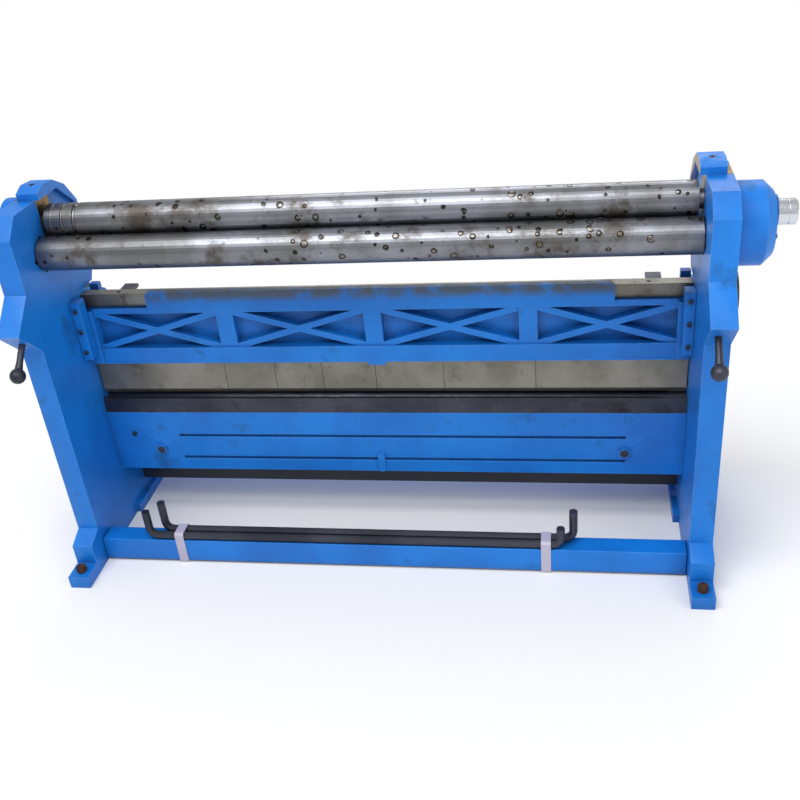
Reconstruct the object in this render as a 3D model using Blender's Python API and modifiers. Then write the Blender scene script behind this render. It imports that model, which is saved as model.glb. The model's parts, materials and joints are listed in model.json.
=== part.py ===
"""Combination sheet metal machine: slip rolls on top, a finger brake and a shear below.

Run with: blender --background --python part.py
Metres, +Z up. The sizes below count X from the middle of the rolls (positive to the drive
side), Y from the front of the legs (positive to the back) and Z from the floor. The whole
machine hangs on one empty, which moves it so that its box stands centred on the origin.
"""

import math

import bmesh
import bpy
from mathutils import Matrix, Vector

# Clearances
SEAT = 0.0003           # between pieces that touch
RUN = 0.0003            # round pins and shafts in their bores
OVERRUN = 0.004         # how far a cutter reaches past the face that it cuts

# Side frames
INNER_HALF = 0.690      # middle of the machine to a frame's inner face
FRAME_THICK = 0.050
BASE_DEPTH = 0.500
FOOT_REACH = 0.100
FOOT_PAD = 0.031
TOE_REACH = 0.046
TOE_TOP_Z = 0.081
LEG_START_Z = 0.100
NOSE_REACH = 0.070
NOSE_LOW_DROP = 0.292
NOSE_TIP_DROP = 0.224
NOSE_TOP_DROP = 0.161
HEAD_TOP_Z = 0.878      # each _DROP below is a height counted down from here
HEAD_CHAMFER = 0.040
HEAD_FLAT_DEPTH = 0.215
HEAD_DEPTH = 0.290
HEAD_SLOPE_DROP = 0.063
LOBE_BULGE = 0.007
LOBE_TURN_DROP = 0.228
LOBE_LOW_DROP = 0.250
LOBE_TOE = 0.014
NECK_DEPTH = 0.215
NECK_LOW_DROP = 0.304
SHOULDER_DEPTH = 0.240
RIM_RADIUS = 0.044      # round the eccentric shaft's bore
REAR_TOE_SHARE = 0.904
REAR_TOE_FALL = 0.00027     # from the foot's pad down to the leg's first corner
REAR_LEG_SHARES = ((0.880, 0.068), (0.856, 0.137), (0.790, 0.376))
REAR_LEG_TOP_SHARE = 0.704
REAR_LEG_TOP_FALL = 0.030224    # from the eccentric shaft down to the leg's last corner
RAIL_START = 0.200      # floor rail along the inner side of the frame
RAIL_END = 0.440
RAIL_PROUD = 0.014
RAIL_HEIGHT = 0.024
WEB_RECESS = 0.018      # pockets in the frame's outer face
POCKET_RIM = 0.034
POCKET_HEIGHT_SHARES = ((0.140, 0.325), (0.365, 0.530))
ANCHOR_INSET = 0.025
ANCHOR_RADIUS = 0.007
ANCHOR_HEAD_RADIUS = 0.012
ANCHOR_HEAD = 0.014
ANCHOR_TIP = 0.004      # from the floor to the end of an anchor bolt

# Rolls and their bearings
ROLL_RADIUS = 0.037
JOURNAL_RADIUS = 0.020
ROLL_GAP = 0.003        # between the two feed rolls as they stand
FEED_ANGLE = math.radians(45.0)     # from the lower to the upper roll, and the lower slide
LOWER_ROLL_Y = 0.110
LOWER_ROLL_DROP = 0.1114
REAR_ROLL_Y = 0.232
REAR_ROLL_DROP = 0.133
REAR_SLIDE_ANGLE = math.radians(90.0)
UPPER_ROLL_SETBACK = 0.010
LOWER_ROLL_SETBACK = 0.003
REAR_ROLL_SETBACK = 0.006
WIRE_GROOVES = ((0.015, 0.0025), (0.040, 0.0032), (0.068, 0.0042))  # from the roll's end, radius
WIRE_GROOVE_STEPS = 4
FEED_OPEN = 0.005
FEED_CLOSE = 0.0025
REAR_DOWN = 0.004
REAR_UP = 0.024
FEED_BLOCK_HALF = 0.027
REAR_BLOCK_HALF = 0.026
UPPER_BLOCK_HALF = 0.0275
UPPER_BLOCK_DROP = 0.0285
SLOT_END = 0.0015

# Adjusting screws
SCREW_INSET = 0.020     # from the frame's inner face to a screw's axis
SCREW_GRIP = 0.005
SCREW_CLEAR = 0.0005
FEED_SCREW_RADIUS = 0.007
FEED_KNOB_RADIUS = 0.017
FEED_KNOB_REACH = 0.2755    # from the lower roll's axis to the middle of the ball
FEED_KNOB_NECK = 0.016
FEED_NECK_RADIUS = 0.0085
REAR_SCREW_RADIUS = 0.006
REAR_KNOB_RADIUS = 0.011
REAR_KNOB_START = 0.143     # from the rear roll's axis to the knob
REAR_KNOB_LENGTH = 0.024
REAR_KNOB_EDGE = 0.002
BALL_STEPS = 6

# Bearing caps
CAP_FRONT = 0.132
CAP_SIDE = 0.015
CAP_HEIGHT = 0.026
CAP_FACE = 0.028
CAP_TOP_LENGTH = 0.045
CAP_TOP_FALL = 0.004
CAP_BACK_SHARE = 0.48   # how far along the head's slope the cap's top reaches
CAP_BACK_FALL = 0.003
CAP_TAIL = 0.011
CAP_PROUD = 0.012
CAP_WIDTH = 0.038
CAP_BOLT_Y = 0.165
CAP_BOLT_RADIUS = 0.005
CAP_BOLT_HEAD_RADIUS = 0.008
CAP_BOLT_HEAD = 0.007
CAP_RECESS = 0.009
HEX_KEY_RADIUS = 0.0042
HEX_KEY_DEPTH = 0.005

# Gears
DRIVE_GEAR_TEETH = 20
PINION_TEETH = 16
DRIVE_MODULE = 0.0035
DRIVE_PLAY = 0.0005     # extra distance between the drive gear and the pinion
DRIVE_ADDENDUM = 0.0032
DRIVE_DEDENDUM = 0.0063
DRIVE_ANGLE = math.radians(18.4)    # from the lower roll to the drive shaft
ROLL_GEAR_TEETH = 16
ROLL_ADDENDUM = 0.0040
ROLL_DEDENDUM = 0.0075
GEAR_FACE = 0.022
GEAR_OFF = 0.004        # from the frame's outer face to the gears
JOURNAL_PAST_GEAR = 0.002
PRESSURE_ANGLE = math.radians(20.0)
TOOTH_SHARE = 0.36      # tooth thickness as a share of the pitch
FLANK_POINTS = 3

# Gear covers and drive shaft
HOUSING_Y = 0.140
HOUSING_DROP = 0.101
HOUSING_RADIUS = 0.082
HOUSING_REACH = 0.077
HOUSING_CHAMFER = 0.019
HOUSING_WALL = 0.006
HOUSING_END_WALL = 0.007
BOSS_RADIUS = 0.034
BOSS_PROUD = 0.013
BOSS_LENGTH = 0.058
DRIVE_RADIUS = 0.026
DRIVE_REACH = 0.128     # from the frame's outer face to the end of the shaft
DRIVE_NECK_RADIUS = 0.015
DRIVE_CHAMFER = 0.003
DRIVE_GROOVE = 0.016    # from the end of the shaft to its groove
DRIVE_GROOVE_WIDTH = 0.003
DRIVE_GROOVE_DEPTH = 0.0015
COVER_RADIUS = 0.053
COVER_REACH = 0.034
COVER_WALL = 0.004

# Ram, the upper beam with the crossed ribs
RAM_SIDE_PLAY = 0.0006
RAM_LOW_DROP = 0.431
RAM_SHELF_DROP = 0.288     # top of the ram's shelf, where the steel bar sits
RAM_SHELF = 0.014
RAM_FLANGE = 0.041
RAM_FLANGE_FRONT = 0.195
RIB_FRONT = 0.200
RAM_WEB_FRONT = 0.225
RAM_BACK = 0.240
RIB_OVERLAP = 0.001     # how far joined bodies of one casting run into each other
RAM_BAYS = 4
POST_WIDTH = 0.040
CROSS_WIDTH = 0.014
RAM_TAB_DROP = 0.008
LUG_WIDTH = 0.030
LUG_FRONT = 0.184
LUG_DEPTH = 0.078
LUG_LOW_DROP = 0.423
LIP_TOP_DROP = 0.247
LIP_FRONT = 0.197
LIP_THICK = 0.0135
LIP_LEFT = 0.172        # from the left frame's inner face
LIP_RIGHT = 0.169       # from the right frame's inner face
LIP_SLOPE = 0.008
TOP_BAR_HEIGHT = 0.031
APRON_HEIGHT = 0.030
APRON_THICK = 0.014
APRON_LOW_DROP = 0.501
APRON_INSET = 0.036
APRON_GUSSETS = 5
GUSSET_THICK = 0.012

# Finger dies: seams from the left frame's inner face, and the last one's end from the right
FINGER_SEAMS = (0.002, 0.321, 0.443, 0.557, 0.683, 0.841, 1.049)
FINGER_END = 0.002
FINGER_DEPTH = 0.014
FINGER_TIP_DROP = 0.515
FINGER_BEVEL = 0.012
FINGER_TIP_SETBACK = 0.0062
FINGER_TIP_WIDTH = 0.0016

# Bending die and bed
DIE_DEPTH = 0.059
DIE_TOP_DROP = 0.523
VEE_HALF = 0.012
BED_FRONT = 0.186
BED_BACK = 0.302
BED_TOP_DROP = 0.562
BED_TOP_PLATE = 0.026
BED_APRON = 0.025
BED_APRON_LOW_DROP = 0.728
BED_WEB = 0.020
BED_WEB_LOW_Z = 0.052
BED_GROOVE_DROPS = (0.692, 0.628)
BED_GROOVE_WIDTH = 0.008
BED_GROOVE_DEPTH = 0.008
BED_GROOVE_LEFT = 0.175
BED_GROOVE_RIGHT = 0.130
BED_BOSS_LEFT = 0.123
BED_BOSS_RIGHT = 0.133
BED_BOSS_DROP = 0.666
BED_BOSS_RADIUS = 0.013
BED_BOSS_PROUD = 0.008
JACK_OFFSET = 0.013     # oval stud on the bed's front, left of its middle
JACK_LOW_DROP = 0.726
JACK_HIGH_DROP = 0.673
JACK_RADIUS = 0.008
JACK_PROUD = 0.006

# Shear
BLADE_THICK = 0.013
BLADE_PLAY = 0.0004
UPPER_BLADE_TOP_DROP = 0.458
UPPER_BLADE_LOW_DROP = 0.520
UPPER_BLADE_RAKE = 0.006
BLADE_INSET = 0.022
LOWER_BLADE_TOP_DROP = 0.526
TABLE_THICK = 0.020
TABLE_BACK = 0.385
TABLE_LEG = 0.012
TABLE_LEG_LOW_DROP = 0.638
TABLE_GUSSETS = 5

# Ram guides
GIB_WIDTH = 0.022
FRONT_GIB_DEPTH = 0.031
REAR_GIB_DEPTH = 0.018
GIB_LOW_DROP = 0.398
GIB_TOP_DROP = 0.252

# Eccentric shaft
ECC_Y = 0.306
ECC_DROP = 0.328
ECC_SHAFT_RADIUS = 0.022
ECC_THROW = 0.020
ECC_RADIUS = 0.034
ECC_WIDTH = 0.024
ECC_INSET = 0.075       # from the frame's inner face to an eccentric's middle
STRAP_BLOCK_WIDTH = 0.034
STRAP_FRONT_PLAY = 0.0010
STRAP_SIDE_PLAY = 0.0036
STRAP_WALL = 0.0085
STRAP_BACK = 0.330
BUSH_WALL = 0.0057
HUB_RADIUS = 0.066
HUB_WIDTH = 0.049
HUB_OFF = 0.002
HUB_ROUND = 0.010
HUB_DISH = 0.004
HUB_RIM = 0.012
SOCKET_RADIUS = 0.0105
SOCKET_DEPTH = 0.040
SOCKET_ANGLES = (math.radians(75.0), math.radians(165.0))

# Tie bars, the bars that work the levers, and the bands that hold them
TIE_FRONT = 0.005
TIE_DEPTH = 0.050
TIE_LOW_Z = 0.005
TIE_HEIGHT = 0.060
TIE_WALL = 0.006
REAR_TIE_SHARE = 0.472973   # of the way from the bed to the base's back
REAR_TIE_LOW_Z = 0.060
BAR_RADIUS = 0.0095
BAR_BEND = 0.020
BAR_BEND_STEPS = 4
FRONT_BAR_Y = 0.015
REAR_BAR_Y = 0.039
FRONT_BAR_PLACES = (0.126, 0.276)   # its two upright ends, each from the nearer frame
FRONT_BAR_TOPS_Z = (0.143, 0.120)
REAR_BAR_PLACES = (0.158, 0.248)
REAR_BAR_TOPS_Z = (0.153, 0.150)
BAND_PLACES = (0.190, 0.320)
BAND_WIDTH = 0.022
BAND_THICK = 0.0012
BAND_SHOULDER = 0.004

# Roundness
TURN_STEPS = 40
HUB_ROUND_STEPS = 3
BAR_ROUND_STEPS = 3
HEX_SIDES = 6
SMALL_STEPS = 20
SHARP_ANGLE = math.radians(30.0)
WELD = 0.00001

# Places worked out from the sizes above
NOSE_LOW_Z = HEAD_TOP_Z - NOSE_LOW_DROP
NOSE_TIP_Z = HEAD_TOP_Z - NOSE_TIP_DROP
NOSE_TOP_Z = HEAD_TOP_Z - NOSE_TOP_DROP
LOBE_TURN_Z = HEAD_TOP_Z - LOBE_TURN_DROP
LOBE_LOW_Z = HEAD_TOP_Z - LOBE_LOW_DROP
NECK_LOW_Z = HEAD_TOP_Z - NECK_LOW_DROP
LOWER_ROLL_Z = HEAD_TOP_Z - LOWER_ROLL_DROP
REAR_ROLL_Z = HEAD_TOP_Z - REAR_ROLL_DROP
HOUSING_Z = HEAD_TOP_Z - HOUSING_DROP
RAM_LOW_Z = HEAD_TOP_Z - RAM_LOW_DROP
RAM_SHELF_Z = HEAD_TOP_Z - RAM_SHELF_DROP
LUG_LOW_Z = HEAD_TOP_Z - LUG_LOW_DROP
LIP_TOP_Z = HEAD_TOP_Z - LIP_TOP_DROP
APRON_LOW_Z = HEAD_TOP_Z - APRON_LOW_DROP
FINGER_TIP_Z = HEAD_TOP_Z - FINGER_TIP_DROP
DIE_TOP_Z = HEAD_TOP_Z - DIE_TOP_DROP
BED_TOP_Z = HEAD_TOP_Z - BED_TOP_DROP
BED_APRON_LOW_Z = HEAD_TOP_Z - BED_APRON_LOW_DROP
BED_BOSS_Z = HEAD_TOP_Z - BED_BOSS_DROP
JACK_LOW_Z = HEAD_TOP_Z - JACK_LOW_DROP
JACK_HIGH_Z = HEAD_TOP_Z - JACK_HIGH_DROP
UPPER_BLADE_TOP_Z = HEAD_TOP_Z - UPPER_BLADE_TOP_DROP
UPPER_BLADE_LOW_Z = HEAD_TOP_Z - UPPER_BLADE_LOW_DROP
LOWER_BLADE_TOP_Z = HEAD_TOP_Z - LOWER_BLADE_TOP_DROP
TABLE_LEG_LOW_Z = HEAD_TOP_Z - TABLE_LEG_LOW_DROP
GIB_LOW_Z = HEAD_TOP_Z - GIB_LOW_DROP
GIB_TOP_Z = HEAD_TOP_Z - GIB_TOP_DROP
ECC_Z = HEAD_TOP_Z - ECC_DROP
BED_GROOVES_Z = [HEAD_TOP_Z - drop for drop in BED_GROOVE_DROPS]
OUTER_HALF = INNER_HALF + FRAME_THICK
SCREW_X = INNER_HALF + SCREW_INSET
FEED_WAY = (math.cos(FEED_ANGLE), math.sin(FEED_ANGLE))
REAR_WAY = (math.cos(REAR_SLIDE_ANGLE), math.sin(REAR_SLIDE_ANGLE))
UP_WAY = (0.0, 1.0)
ROLL_DISTANCE = 2 * ROLL_RADIUS + ROLL_GAP
LOWER_ROLL = (LOWER_ROLL_Y, LOWER_ROLL_Z)
UPPER_ROLL = (LOWER_ROLL_Y + ROLL_DISTANCE * FEED_WAY[0], LOWER_ROLL_Z + ROLL_DISTANCE * FEED_WAY[1])
REAR_ROLL = (REAR_ROLL_Y, REAR_ROLL_Z)
DRIVE_DISTANCE = DRIVE_MODULE * (DRIVE_GEAR_TEETH + PINION_TEETH) / 2 + DRIVE_PLAY
DRIVE = (
    LOWER_ROLL_Y + DRIVE_DISTANCE * math.cos(DRIVE_ANGLE),
    LOWER_ROLL_Z + DRIVE_DISTANCE * math.sin(DRIVE_ANGLE),
)
ROLL_MODULE = ROLL_DISTANCE / ROLL_GEAR_TEETH
GEAR_END = OUTER_HALF + GEAR_OFF + GEAR_FACE
JOURNAL_END = GEAR_END + JOURNAL_PAST_GEAR
ECC = (ECC_Y, ECC_Z)
ECC_X = INNER_HALF - ECC_INSET
REAR_TIE_FRONT = BED_BACK + REAR_TIE_SHARE * (BASE_DEPTH - BED_BACK - TIE_DEPTH)
BORE_RADIUS = ECC_SHAFT_RADIUS + RUN
BUSH_RADIUS = BORE_RADIUS + BUSH_WALL
RAM_HALF = INNER_HALF - RAM_SIDE_PLAY
BED_HALF = INNER_HALF - SEAT
LOWER_BLADE_FRONT = BED_BACK - BLADE_THICK - SEAT
UPPER_BLADE_FRONT = LOWER_BLADE_FRONT - BLADE_PLAY - BLADE_THICK
VEE_Y = RIB_FRONT + FINGER_TIP_SETBACK + FINGER_TIP_WIDTH / 2
BAR_Z = TIE_LOW_Z + TIE_HEIGHT + SEAT + BAR_RADIUS
HUB_OUT = OUTER_HALF + HUB_OFF + HUB_WIDTH
KNOB_FRONT = LOWER_ROLL_Y - FEED_KNOB_REACH * FEED_WAY[0] - FEED_KNOB_RADIUS
CENTRE_X = (OUTER_HALF + DRIVE_REACH - HUB_OUT) / 2
CENTRE_Y = (BASE_DEPTH + min(KNOB_FRONT, -FOOT_REACH)) / 2


def from_left(distance):
    """X of a place that is measured from the left frame's inner face."""
    return distance - INNER_HALF


def from_right(distance):
    """X of a place that is measured from the right frame's inner face."""
    return INNER_HALF - distance


def along(centre, way, distance):
    """The (Y, Z) point at a distance from a centre along a way."""
    return centre[0] + distance * way[0], centre[1] + distance * way[1]


# Scene, collections and materials

def clear_scene():
    for old in list(bpy.data.objects):
        bpy.data.objects.remove(old, do_unlink=True)


def new_collection(name):
    made = bpy.data.collections.new(name)
    bpy.context.scene.collection.children.link(made)
    return made


def new_material(name, colour, roughness, metallic):
    made = bpy.data.materials.new(name)
    made.use_nodes = True
    shader = made.node_tree.nodes["Principled BSDF"]
    shader.inputs["Base Color"].default_value = (*colour, 1.0)
    shader.inputs["Roughness"].default_value = roughness
    shader.inputs["Metallic"].default_value = metallic
    made.diffuse_color = (*colour, 1.0)
    return made


clear_scene()
PARTS = new_collection("combination_sheet_metal_machine")
CUTTERS = new_collection("cutters")
MACHINE = bpy.data.objects.new("machine_origin", None)
MACHINE.location = (-CENTRE_X, -CENTRE_Y, 0.0)
PARTS.objects.link(MACHINE)

BLUE = new_material("blue_paint", (0.02, 0.22, 0.70), 0.38, 0.0)
DARK_CASTING = new_material("dark_painted_casting", (0.06, 0.07, 0.09), 0.55, 0.0)
ROLL_STEEL = new_material("ground_roll_steel", (0.34, 0.31, 0.29), 0.28, 1.0)
DIE_STEEL = new_material("ground_die_steel", (0.26, 0.25, 0.21), 0.45, 1.0)
TOOL_STEEL = new_material("dark_tool_steel", (0.08, 0.08, 0.10), 0.45, 1.0)
BRONZE = new_material("bearing_bronze", (0.48, 0.29, 0.12), 0.40, 1.0)
BRIGHT_STEEL = new_material("turned_steel", (0.62, 0.62, 0.64), 0.25, 1.0)
BLACK = new_material("black_oxide", (0.025, 0.025, 0.03), 0.5, 0.6)
BAND = new_material("strapping_band", (0.52, 0.50, 0.60), 0.45, 0.0)
RUST = new_material("rusty_bolt_steel", (0.13, 0.07, 0.04), 0.8, 0.5)


# Making and placing shapes

ALONG_X = (math.radians(90.0), 0.0, math.radians(90.0))    # outline in YZ, thickness along X
ALONG_Y = (math.radians(90.0), 0.0, 0.0)                   # outline in XZ, thickness along Y
TURN_ALONG_X = (0.0, math.radians(90.0), 0.0)              # turning axis along X


def place(made, material, location=(0.0, 0.0, 0.0), rotation=(0.0, 0.0, 0.0)):
    """Link a part, hang it on the machine's empty and give it its place and material."""
    PARTS.objects.link(made)
    made.parent = MACHINE
    made.location = location
    made.rotation_euler = rotation
    made.data.materials.clear()
    made.data.materials.append(material)
    return made


def shade(mesh):
    mesh.shade_smooth()
    mesh.set_sharp_from_angle(angle=SHARP_ANGLE)


def evaluated_mesh(made):
    """The mesh that an object shows with its modifiers."""
    bpy.context.view_layer.update()
    graph = bpy.context.evaluated_depsgraph_get()
    return bpy.data.meshes.new_from_object(made.evaluated_get(graph))


def closed_curve_mesh(name, curve):
    """A curve made into a mesh, with its loose caps welded on."""
    holder = bpy.data.objects.new(name + "_curve", curve)
    bpy.context.scene.collection.objects.link(holder)
    mesh = evaluated_mesh(holder)
    bpy.data.objects.remove(holder, do_unlink=True)
    bpy.data.curves.remove(curve)
    shape = bmesh.new()
    shape.from_mesh(mesh)
    bmesh.ops.remove_doubles(shape, verts=shape.verts, dist=WELD)
    bmesh.ops.recalc_face_normals(shape, faces=shape.faces)
    shape.to_mesh(mesh)
    shape.free()
    mesh.name = name
    shade(mesh)
    return mesh


def outline_mesh(name, loops, thickness):
    """A flat outline with holes, filled and extruded: the first loop is the outside."""
    curve = bpy.data.curves.new(name, "CURVE")
    curve.dimensions = "2D"
    curve.fill_mode = "BOTH"
    curve.extrude = thickness / 2
    for loop in loops:
        spline = curve.splines.new("POLY")
        spline.points.add(len(loop) - 1)
        for point, (across, up) in zip(spline.points, loop):
            point.co = (across, up, 0.0, 1.0)
        spline.use_cyclic_u = True
    return closed_curve_mesh(name, curve)


def plate_x(name, loops, x_from, x_to, material):
    """A plate with its outline in YZ, between two X places in either order."""
    made = bpy.data.objects.new(name, outline_mesh(name, loops, abs(x_to - x_from)))
    return place(made, material, ((x_from + x_to) / 2, 0.0, 0.0), ALONG_X)


def plate_y(name, loops, y_from, y_to, material):
    """A plate with its outline in XZ, between two Y places."""
    made = bpy.data.objects.new(name, outline_mesh(name, loops, abs(y_to - y_from)))
    return place(made, material, (0.0, (y_from + y_to) / 2, 0.0), ALONG_Y)


def box(name, start, end, material):
    """A box between two opposite corners, given in any order."""
    size = [abs(b - a) for a, b in zip(start, end)]
    middle = [(a + b) / 2 for a, b in zip(start, end)]
    mesh = bpy.data.meshes.new(name)
    shape = bmesh.new()
    bmesh.ops.create_cube(shape, size=1.0, matrix=Matrix.Diagonal((*size, 1.0)))
    shape.to_mesh(mesh)
    shape.free()
    return place(bpy.data.objects.new(name, mesh), material, middle)


def rod(name, start, end, radius, material, steps=SMALL_STEPS):
    """A straight round bar between two points."""
    start = Vector(start)
    end = Vector(end)
    length = (end - start).length
    mesh = bpy.data.meshes.new(name)
    shape = bmesh.new()
    bmesh.ops.create_cone(shape, cap_ends=True, segments=steps, radius1=radius, radius2=radius, depth=length)
    shape.to_mesh(mesh)
    shape.free()
    shade(mesh)
    turn = (end - start).to_track_quat("Z", "Y").to_euler()
    return place(bpy.data.objects.new(name, mesh), material, (start + end) / 2, turn)


def turned(name, profile, location, rotation, material, steps=TURN_STEPS, closed=False):
    """A turned piece from (radius, place along the axis) points, far end first."""
    mesh = bpy.data.meshes.new(name)
    edges = [(n, n + 1) for n in range(len(profile) - 1)]
    if closed:
        edges.append((len(profile) - 1, 0))
    mesh.from_pydata([(radius, 0.0, height) for radius, height in profile], edges, [])
    made = bpy.data.objects.new(name, mesh)
    screw = made.modifiers.new("turn", "SCREW")
    screw.axis = "Z"
    screw.steps = steps
    screw.render_steps = steps
    screw.use_merge_vertices = True
    screw.merge_threshold = WELD
    place(made, material, location, rotation)
    made.data = evaluated_mesh(made)
    made.modifiers.clear()
    bpy.data.meshes.remove(mesh)
    made.data.name = name
    made.data.materials.clear()
    made.data.materials.append(material)
    shade(made.data)
    return made


def circle(centre, radius, steps=TURN_STEPS):
    """Points of a circle in an outline."""
    turn = 2 * math.pi / steps
    return [along(centre, (math.cos(turn * n), math.sin(turn * n)), radius) for n in range(steps)]


def arc(centre, radius, start, end, steps):
    """Points of an arc, both ends included."""
    turn = (end - start) / steps
    angles = [start + turn * n for n in range(steps + 1)]
    return [along(centre, (math.cos(angle), math.sin(angle)), radius) for angle in angles]


def slanted_box(centre, way, low, high, half_width):
    """Corners of a rectangle that runs along a way, from low to high past its centre."""
    across = (-way[1], way[0])
    corners = ((low, -half_width), (high, -half_width), (high, half_width), (low, half_width))
    return [along(along(centre, way, length), across, width) for length, width in corners]


def combine(made, other, operation):
    """Apply one Boolean between two pieces and drop the second."""
    tool = made.modifiers.new(operation.lower(), "BOOLEAN")
    tool.operation = operation
    tool.solver = "EXACT"
    tool.object = other
    mesh = evaluated_mesh(made)
    made.modifiers.clear()
    old = made.data
    material = old.materials[0]
    made.data = mesh
    bpy.data.meshes.remove(old)
    mesh.name = made.name
    mesh.materials.clear()
    mesh.materials.append(material)
    mesh.polygons.foreach_set("material_index", [0] * len(mesh.polygons))
    shade(mesh)
    bpy.data.objects.remove(other, do_unlink=True)
    return made


def cut(made, other):
    """Cut one piece out of another: the cutter moves to its own collection first."""
    PARTS.objects.unlink(other)
    CUTTERS.objects.link(other)
    other.hide_render = True
    other.display_type = "WIRE"
    return combine(made, other, "DIFFERENCE")


def join(made, *others):
    for other in others:
        combine(made, other, "UNION")
    return made


# Side frames

def rear_leg():
    """The rear leg's back edge, from its foot to the rim round the eccentric shaft."""
    return [
        (REAR_TOE_SHARE * BASE_DEPTH, FOOT_PAD - REAR_TOE_FALL),
        *[(y * BASE_DEPTH, z * HEAD_TOP_Z) for y, z in REAR_LEG_SHARES],
        (REAR_LEG_TOP_SHARE * BASE_DEPTH, ECC_Z - REAR_LEG_TOP_FALL),
    ]


def leg_back(height):
    """Depth of the rear leg's back edge at a height, read along its outline."""
    points = rear_leg()
    for (low_y, low_z), (high_y, high_z) in zip(points, points[1:]):
        if height <= high_z:
            return low_y + (high_y - low_y) * (height - low_z) / (high_z - low_z)
    return points[-1][0]


def upper_slot():
    """The slot that an upper bearing drops into, open at the top of the head."""
    half = UPPER_BLOCK_HALF + SEAT
    low = UPPER_ROLL[1] - UPPER_BLOCK_DROP - SEAT
    return [
        (UPPER_ROLL[0] + half, HEAD_TOP_Z),
        (UPPER_ROLL[0] + half, low),
        (UPPER_ROLL[0] - half, low),
        (UPPER_ROLL[0] - half, HEAD_TOP_Z),
    ]


def frame_outline():
    """The frame seen from its side, from the front foot round the back and over the head."""
    rim = arc(ECC, RIM_RADIUS, 0.0, math.radians(170.0), SMALL_STEPS // 2)
    return [
        (-FOOT_REACH, 0.0),
        (BASE_DEPTH, 0.0),
        (BASE_DEPTH, FOOT_PAD),
        *rear_leg(),
        *rim,
        (SHOULDER_DEPTH, rim[-1][1]),
        (NECK_DEPTH, NECK_LOW_Z),
        (NECK_DEPTH, LOBE_LOW_Z),
        (HEAD_DEPTH + LOBE_BULGE - LOBE_TOE, LOBE_LOW_Z),
        (HEAD_DEPTH + LOBE_BULGE, LOBE_TURN_Z),
        (HEAD_DEPTH, HEAD_TOP_Z - HEAD_SLOPE_DROP),
        (HEAD_FLAT_DEPTH, HEAD_TOP_Z),
        *upper_slot(),
        (HEAD_CHAMFER, HEAD_TOP_Z),
        (0.0, HEAD_TOP_Z - HEAD_CHAMFER),
        (0.0, NOSE_TOP_Z),
        (-NOSE_REACH, NOSE_TIP_Z),
        (0.0, NOSE_LOW_Z),
        (0.0, LEG_START_Z),
        (-TOE_REACH, TOE_TOP_Z),
        (-TOE_REACH, FOOT_PAD),
        (-FOOT_REACH, FOOT_PAD),
    ]


def slide_slot(centre, way, half, low, high):
    """The closed slot that a sliding bearing block runs in."""
    reach = half + SLOT_END
    return slanted_box(centre, way, -low - reach, high + reach, half + SEAT)


def leg_pocket(low_share, high_share):
    """A hollow in the frame's outer face, a rim's width inside the leg's outline."""
    low = low_share * HEAD_TOP_Z
    high = high_share * HEAD_TOP_Z
    return [
        (POCKET_RIM, low),
        (leg_back(low) - POCKET_RIM, low),
        (leg_back(high) - POCKET_RIM, high),
        (POCKET_RIM, high),
    ]


def side_frame(side, word):
    """One cast side frame: side is -1 for the left and 1 for the right."""
    loops = [
        frame_outline(),
        slide_slot(LOWER_ROLL, FEED_WAY, FEED_BLOCK_HALF, FEED_OPEN, FEED_CLOSE),
        slide_slot(REAR_ROLL, REAR_WAY, REAR_BLOCK_HALF, REAR_DOWN, REAR_UP),
        circle(ECC, BUSH_RADIUS + SEAT),
    ]
    frame = plate_x(f"{word}_side_frame", loops, side * INNER_HALF, side * OUTER_HALF, BLUE)
    rail_start = (side * (INNER_HALF - RAIL_PROUD), RAIL_START, 0.0)
    join(frame, box("rail", rail_start, (side * (INNER_HALF + OVERRUN), RAIL_END, RAIL_HEIGHT), BLUE))
    for shares in POCKET_HEIGHT_SHARES:
        floor = side * (OUTER_HALF - WEB_RECESS)
        cut(frame, plate_x("pocket", [leg_pocket(*shares)], floor, side * (OUTER_HALF + OVERRUN), BLUE))
    middle = side * (INNER_HALF + FRAME_THICK / 2)
    for y in (-FOOT_REACH + ANCHOR_INSET, BASE_DEPTH - ANCHOR_INSET):
        hole = ((middle, y, -OVERRUN), (middle, y, FOOT_PAD + OVERRUN))
        cut(frame, rod("hole", *hole, ANCHOR_RADIUS + SEAT, BLUE))
    facet = (LOWER_ROLL_Y + NOSE_REACH) / FEED_WAY[0]
    for centre, way, half, radius, far in (
        (LOWER_ROLL, FEED_WAY, FEED_BLOCK_HALF, FEED_SCREW_RADIUS, facet),
        (REAR_ROLL, REAR_WAY, REAR_BLOCK_HALF, REAR_SCREW_RADIUS, REAR_ROLL_Z - LOBE_LOW_Z + OVERRUN),
    ):
        ends = [(side * SCREW_X, *along(centre, way, -reach)) for reach in (half - OVERRUN, far)]
        cut(frame, rod("hole", *ends, radius + SCREW_CLEAR, BLUE))
    return frame


def anchor_bolt(name, side, y):
    """Floor bolt in a foot, with a hexagonal head."""
    middle = side * (INNER_HALF + FRAME_THICK / 2)
    low = FOOT_PAD + SEAT
    head = (middle, y, low), (middle, y, low + ANCHOR_HEAD)
    shank = (middle, y, ANCHOR_TIP), (middle, y, low + ANCHOR_HEAD / 2)
    bolt = rod(name, *head, ANCHOR_HEAD_RADIUS, RUST, HEX_SIDES)
    return join(bolt, rod("shank", *shank, ANCHOR_RADIUS, RUST))


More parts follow.
